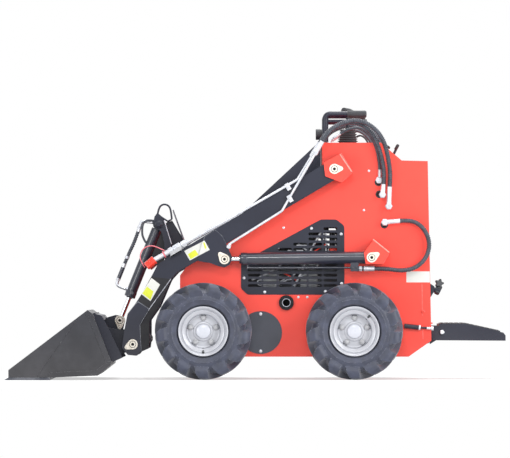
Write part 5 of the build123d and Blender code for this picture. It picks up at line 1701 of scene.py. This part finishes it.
@dataclass
class CylinderDetails:
    """Glands, caps, ports and elbows of the hydraulic cylinders, and the fittings on the body."""

    hose_y: float = -288.0
    # start and direction's end of each bulkhead fitting
    bulkheads: tuple[tuple[Flat, Flat], ...] = (
        ((597, 872), (601, 921)), ((627, 818), (631, 909)), ((608, 742), (679, 748)))
    bucket_elbows: tuple[Route, Route] = (
        ((-494, 0, 743.5), (-530, 0, 748.8), (-544.5, 0, 749.5), (-550.5, 0, 734.5), (-556, 0, 718)),
        ((-657, 0, 471), (-662.5, 0, 454.5), (-661, 0, 446.5), (-648, 0, 437), (-622, 0, 428.4)))
    second_hose: Route = (
        (-486, -12, 752), (-517, -16, 757), (-538.5, -16, 742), (-543.5, -14, 704), (-540, -10, 672),
        (-524.5, -4, 647.5))
    third_hose: Route = (
        (366, -256, 1141), (386, -259, 1154), (440, -263, 1184), (492, -267, 1190), (538, -270, 1158),
        (567, -271, 1100), (580, -271.5, 1040), (584, -272, 990), (583, -272.5, 952))
    third_elbow: Route = (
        (349, -250, 1112), (349, -250.5, 1122), (352.5, -252.5, 1132), (362, -255.5, 1139), (369, -256.3, 1143))

    def build(self) -> None:
        """Makes every detail of the cylinders and of the body's fittings."""
        for side in Side:
            self.lift(side)
        self.bucket()
        self.fittings()
        self.spare_hose()

    def lift(self, side: Side) -> None:
        """Details of one lift cylinder.

        Args:
            side: Side of the machine.
        """
        start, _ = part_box(f"lift_barrel_{side.word}")
        y = side.y(315)
        axis = Vector((693.5, 0, 8)).normalized()
        tip = facing((start.x / MM, y, 567 + 8 * (start.x / MM + 149) / 693.5), axis)
        gland, zinc = Shape(), Shape()
        gland.lathe([(14.6, -7), (19.5, -7), (22.5, -5), (22.5, 0), (27.6, 0.4), (30.4, 3), (30.4, 26), (29.2, 29)],
                    tip, 48)
        for step in range(6):
            turn = turned(60 * step) @ Matrix.Translation((18.8, 0, -7.2))
            gland.lathe([(2.4, 0.6), (2.2, -0.4), (0.01, -0.6)], tip @ turn, 10)
        rear = facing(Vector((544.5 - 27, y, 574.6)), -axis)
        gland.lathe([(24, -3), (29.4, 0), (30.2, 3), (30.2, 9), (29.2, 12)], rear, 48)
        for x in (453, 475):
            gland.hex_bolt(facing((x, y + side.value * 18, 527), (0, side.value, 0)), 9, 5)
        gland.build(f"lift_glands_{side.word}", Surface.CYLINDER_ENAMEL, f"lift_barrel_{side.word}", 35)
        port = facing((483, y, 522.7), (1, 0, 0))
        zinc.hexagon(24, 3, 17, port, 1.8)
        zinc.lathe([(8.8, 17), (8.8, 23), (11.8, 24)], port, 28)
        zinc.sleeve(port, 24, 74, 13.4)
        zinc.lathe(GREASE_NIPPLE, facing((544.5, y, 601.8), (0, 0, 1)), 14)
        zinc.build(f"lift_ports_{side.word}", Surface.ZINC, f"lift_barrel_{side.word}", 32)
        eye = Shape().lathe(GREASE_NIPPLE, facing((-149, y, 593.8), (0, 0, 1)), 14)
        eye.build(f"lift_eye_nipple_{side.word}", Surface.ZINC, f"lift_rod_{side.word}", 32)

    def bucket(self) -> None:
        """Gland, zinc elbows, clamp and second hose of the bucket cylinder."""
        axis = Vector((-185, 0, -458)).normalized()
        head = Vector((-463, 0, 735)) + axis * 373
        gland, zinc, guard = Shape(), Shape(), Shape()
        gland.lathe([(25.2, -30), (26.6, -28), (26.6, -2), (24.6, 0.6), (15.6, 1.2), (15.2, 4.5), (11.5, 5)],
                    facing(head, axis), 48)
        gland.build("bucket_gland", Surface.CYLINDER_ENAMEL, "bucket_barrel", 35)
        for route in self.bucket_elbows:
            zinc.tube(spline_points(route, 2), 7.9, 20)
        zinc.hexagon(21, 0, 11, facing((-553.4, 0, 726), (-11, 0, -33)), 1.4)
        zinc.hexagon(21, 0, 11, facing((-654.4, 0, 477.6), (-2.6, 0, -6.4)), 1.4)
        zinc.hexagon(21, 0, 12, facing((-608, 0, 424.5), (-38, 0, 12)), 1.4)
        clip = facing((-614, 0, 577), (-26, 0, -64))
        zinc.lathe([(8.4, -7), (10.6, -6.4), (10.6, 6.4), (8.4, 7)], clip, 28)
        zinc.build("bucket_elbows", Surface.ZINC, "bucket_barrel", 35)
        guard.tube(spline_points(self.second_hose, 2.5), 5.2, 14)
        guard.build("bucket_second_hose", Surface.HOSE_GUARD, "bucket_barrel", 60)

    def fittings(self) -> None:
        """Hexagons and crimped shells on the body's bulkhead fittings."""
        shape = Shape()
        for spot, end in self.bulkheads:
            start = Vector((spot[0], self.hose_y, spot[1]))
            axis = Vector((end[0], self.hose_y, end[1])) - start
            place = facing(start, axis)
            shape.hexagon(21, 13, 24, place, 1.6)
            shape.sleeve(place, max(26, axis.length - 44), axis.length)
            shape.lathe([(14.2, -1), (14.6, 0.6), (12.6, 2.2), (6.4, 2.4), (5.6, 1.2), (0.01, 1.2)],
                        outward(*spot, self.hose_y - 14), 32)
            shape.hexagon(31, 0, 8, outward(*spot, -262), 1.6)
        shape.hexagon(31, 0, 8, outward(581, 941, -262), 1.6)
        shape.mirrored().build("bulkhead_hexagons", Surface.ZINC, "chassis", 32)

    def spare_hose(self) -> None:
        """Thin third hose on each side, from the deck's edge over to the upper fitting."""
        zinc, guard = Shape(), Shape()
        path = spline_points(self.third_hose, 3)
        guard.tube(path, 7, 14)
        for spots in (path, path[::-1]):
            zinc.sleeve(facing(spots[0], spots[4] - spots[0]), 0, 38, 8.4)
        zinc.tube(spline_points(self.third_elbow, 2), 5.6, 16)
        zinc.hexagon(19, 0, 7, facing((349, -250, 1114.6), (0, 0, 1)), 1.4)
        guard.mirrored().build("third_hoses", Surface.HOSE_GUARD, "chassis", 60)
        zinc.mirrored().build("third_hose_ends", Surface.ZINC, "chassis", 32)


# ---------------- bucket and platform
@dataclass
class Bucket:
    """Rolled bucket with stepped side plates, welds, ribs under its lip and a bolted edge."""

    half: float = 525.0
    side_inner: float = 519.0
    recess: float = 2.4
    heel: Outline = ((-966, 12), (-742, 21), (-680, 70))
    back_low: Flat = (-680, 90)
    back_high: Flat = (-767, 312)
    lip: Flat = (-790, 328)
    shell_gauge: float = 6.0
    toe: tuple[Flat, Flat] = ((-1160, 12), (-1160, 47))
    crease: tuple[Flat, Flat] = ((-829, 298.4), (-1029, 12))
    frame_width: float = 24.0

    def shell(self) -> list[Flat]:
        """Outer line of the rolled shell, from the floor's front to the lip."""
        return [(-1140, 12), *self.heel, self.back_low, self.back_high, self.lip]

    def build(self) -> None:
        """Makes the bucket and its edge hardware."""
        shape = Shape()
        line = self.shell()
        inside = offset_line(line, self.shell_gauge)
        shape.loft([at_y([*line, *reversed(inside)], y) for y in (-self.side_inner, self.side_inner)])
        side = Shape()
        step = self.half - self.recess
        back = line[:0:-1]
        plates = [([*self.toe, *back], self.side_inner, step), ([*self.toe, *self.crease], step, self.half)]
        inner = offset_line(back, -self.frame_width)
        plates += [([*pair, *reversed(within)], step, self.half - 0.3)
                   for pair, within in zip(zip(back, back[1:]), zip(inner, inner[1:]))]
        for outline, low, high in plates:
            chamfer = min(0.8, (high - low) / 3)
            side.plate(outline, shrunk(outline, chamfer), -low, -high, chamfer)
        for number in range(3):
            side.lathe([(9, 0), (8.4, 2.6), (4, 3.2), (3.6, 1.4), (0.01, 1.4)],
                       facing((56 * number - 1100, -self.side_inner, 30), (0, 1, 0)), 20)
        side.mirrored()
        shape.add(side.points, side.faces)
        piece = shape.build("rolled_bucket", Surface.BUCKET_ENAMEL, "bucket", 25, slot="black_steel")
        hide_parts("bucket")
        self.welds()
        self.ribs()
        self.edge()

    def welds(self) -> None:
        """Beads inside the side plates' corners and outside along the shell."""
        shape = Shape()
        inside = offset_line(self.shell(), self.shell_gauge)
        shape.weld(at_y(inside, -self.side_inner + 0.5), 4, 6)
        shape.weld([(-1150, -self.half + 3.4, 26), (-1062, -self.half + 3.4, 30)], 2.8, 6)
        shape.mirrored().build("bucket_welds", Surface.DARK_WELD, "bucket", 60)
        worn = Shape().rod([(-1159, 1.9 - self.half, 13.5), (-1080, 1.9 - self.half, 14.5)], 1.9)
        worn.mirrored().build("toe_wear", Surface.BARE_EDGE, "bucket", 60)

    def ribs(self) -> None:
        """Stiffening ribs inside, under the lip."""
        shape = Shape()
        for y in (-300, -100, 100, 300):
            shape.loft([at_y(((-765, 296), (-782, 314), (-812, 306), (-770, 268)), y + offset) for offset in (-5, 5)])
        shape.build("bucket_ribs", Surface.BUCKET_ENAMEL, "bucket", 30)

    def edge(self) -> None:
        """Countersunk plough bolts along the cutting edge."""
        shape = Shape()
        for number in range(8):
            y = -455 + 130 * number
            shape.lathe([(11, 0), (10.4, 0.7), (6.4, 0.9), (6.2, 0.3), (0.01, 0.3)],
                        facing((-1062, y, 18.4), (0, 0, 1)), 24)
        shape.build("plough_bolts", Surface.GREY_PHOSPHATE, "bucket", 30)


@dataclass
class PlatformDetails:
    """Tread mat, hinge bolts and latch of the operator platform, and the knob above it."""

    mat_line: Outline = ((874, 252.6), (990, 252.6), (1150, 217.6))
    mat_gauge: float = 12.4
    half: float = 192.0

    def build(self) -> None:
        """Makes the platform's details."""
        self.mat()
        self.hardware()
        self.knob()

    def mat(self) -> None:
        """Ribbed rubber mat on the tread, with raised cleats, and the tread's pale end bar."""
        mat, bar = Shape(), Shape()
        top = offset_line(self.mat_line, self.mat_gauge)
        rings = []
        for y, drop in ((-self.half, 2), (2 - self.half, 0), (self.half - 2, 0), (self.half, 2)):
            rings.append(at_y(self.mat_line, y) + [(x, y, z - drop) for x, z in reversed(top)])
        mat.loft(rings)
        first, second, third = (Vector((x, 0, z)) for x, z in top)
        for start, end, count in ((first, second, 5), (second, third, 7)):
            along = (end - start).normalized()
            up = Vector((-along.z, 0, along.x))
            turn = Matrix((along, Vector((0, 1, 0)), up)).transposed()
            for row in range(count):
                centre = start.lerp(end, (row + 0.5) / count)
                for column in range(9):
                    y = -164 + 41 * column + (10 if row % 2 else -10)
                    lean = Matrix.Rotation(math.radians(35 if (row + column) % 2 else -35), 3, "Z")
                    mat.block((17, 5.5, 2.2), centre + up * 0.8 + Vector((0, y, 0)), 0.9, turn @ lean)
        end = Vector((1150, 0, 217.6))
        bar.block((5, 388, 13), end + Vector((2.6, 0, 5.2)), 1.2, Matrix.Rotation(math.radians(12.3), 3, "Y"))
        mat.build("tread_mat", Surface.NEOPRENE, "platform", 30)
        bar.build("tread_end_bar", Surface.DARK_ENAMEL, "platform", 30)

    def hardware(self) -> None:
        """Zinc hinge bolts with washers, the latch rod's tip and the sleeve's clip."""
        bolts, tip = Shape(), Shape()
        place = outward(880, 222, -208)
        bolts.lathe([(10.8, -7.4), (10.8, -4.8), (9, -4.4), (9, 0.6), (8, 1.8), (4, 2.2), (0.01, 2.2)], place, 32)
        path = even_steps([(806, -274, 242.2), (838, -274, 240)], 2)
        tip.tube(path, lambda distance, angle: 6.4 if distance < 20 else 9.6, 24)
        tip.lathe([(12.4, 0), (12.8, 1.5), (12.8, 6.5), (12.4, 8)], facing((768, -274, 244.9), (76, 0, -8)), 28)
        bolts.mirrored().build("hinge_bolts", Surface.ZINC, "platform", 30)
        tip.build("latch_tip", Surface.ZINC, "chassis", 30)

    @staticmethod
    def lobed(radius: float, lobe: float, height: float) -> list[Point]:
        """Five-lobed outline of a knob.

        Args:
            radius: Mean radius.
            lobe: Height of the lobes.
            height: Height of the outline along Z.

        Returns:
            The outline's points.
        """
        ring = []
        for step in range(60):
            turn = 2 * math.pi * step / 60
            reach = radius + lobe * math.cos(5 * turn)
            ring.append((reach * math.cos(turn), reach * math.sin(turn), height))
        return ring

    def knob(self) -> None:
        """Two five-lobed clamping knobs on the rear cover's latch."""
        shape = Shape()
        place = facing((846, -232, 430), (26, 0, -13))
        shape.loft([self.lobed(20.6 - shrink, 4.6, height)
                    for shrink, height in ((3, 6), (0, 9), (0, 24), (3.5, 28))], place)
        shape.lathe([(7, 0), (9, 7), (13, 7)], place, 24)
        other = facing((862, -232, 452), (0.25, -1, 0.1))
        shape.loft([self.lobed(size, 0.22 * size, height)
                    for size, height in ((15, 6), (18, 9), (18, 20), (15, 23))], other)
        shape.lathe([(6, -14), (6, 7)], other, 18)
        shape.build("star_knobs", Surface.NYLON, "chassis")


# ---------------- the machine
def main() -> None:
    """Builds the studio and every sub-assembly."""
    logging.basicConfig(level=logging.INFO, format="%(name)s: %(message)s")
    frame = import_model()
    Studio().build()
    Hoses().build()
    for end in ("front", "rear"):
        for side in Side:
            Wheel(end, side).build()
    for group in (BodyDetails(), EngineDress(), Controls(), ArmDetails(), CylinderDetails(), Bucket(),
                  PlatformDetails()):
        group.build()
    dress_frame(frame["nodes"])


if __name__ == "__main__":
    main()
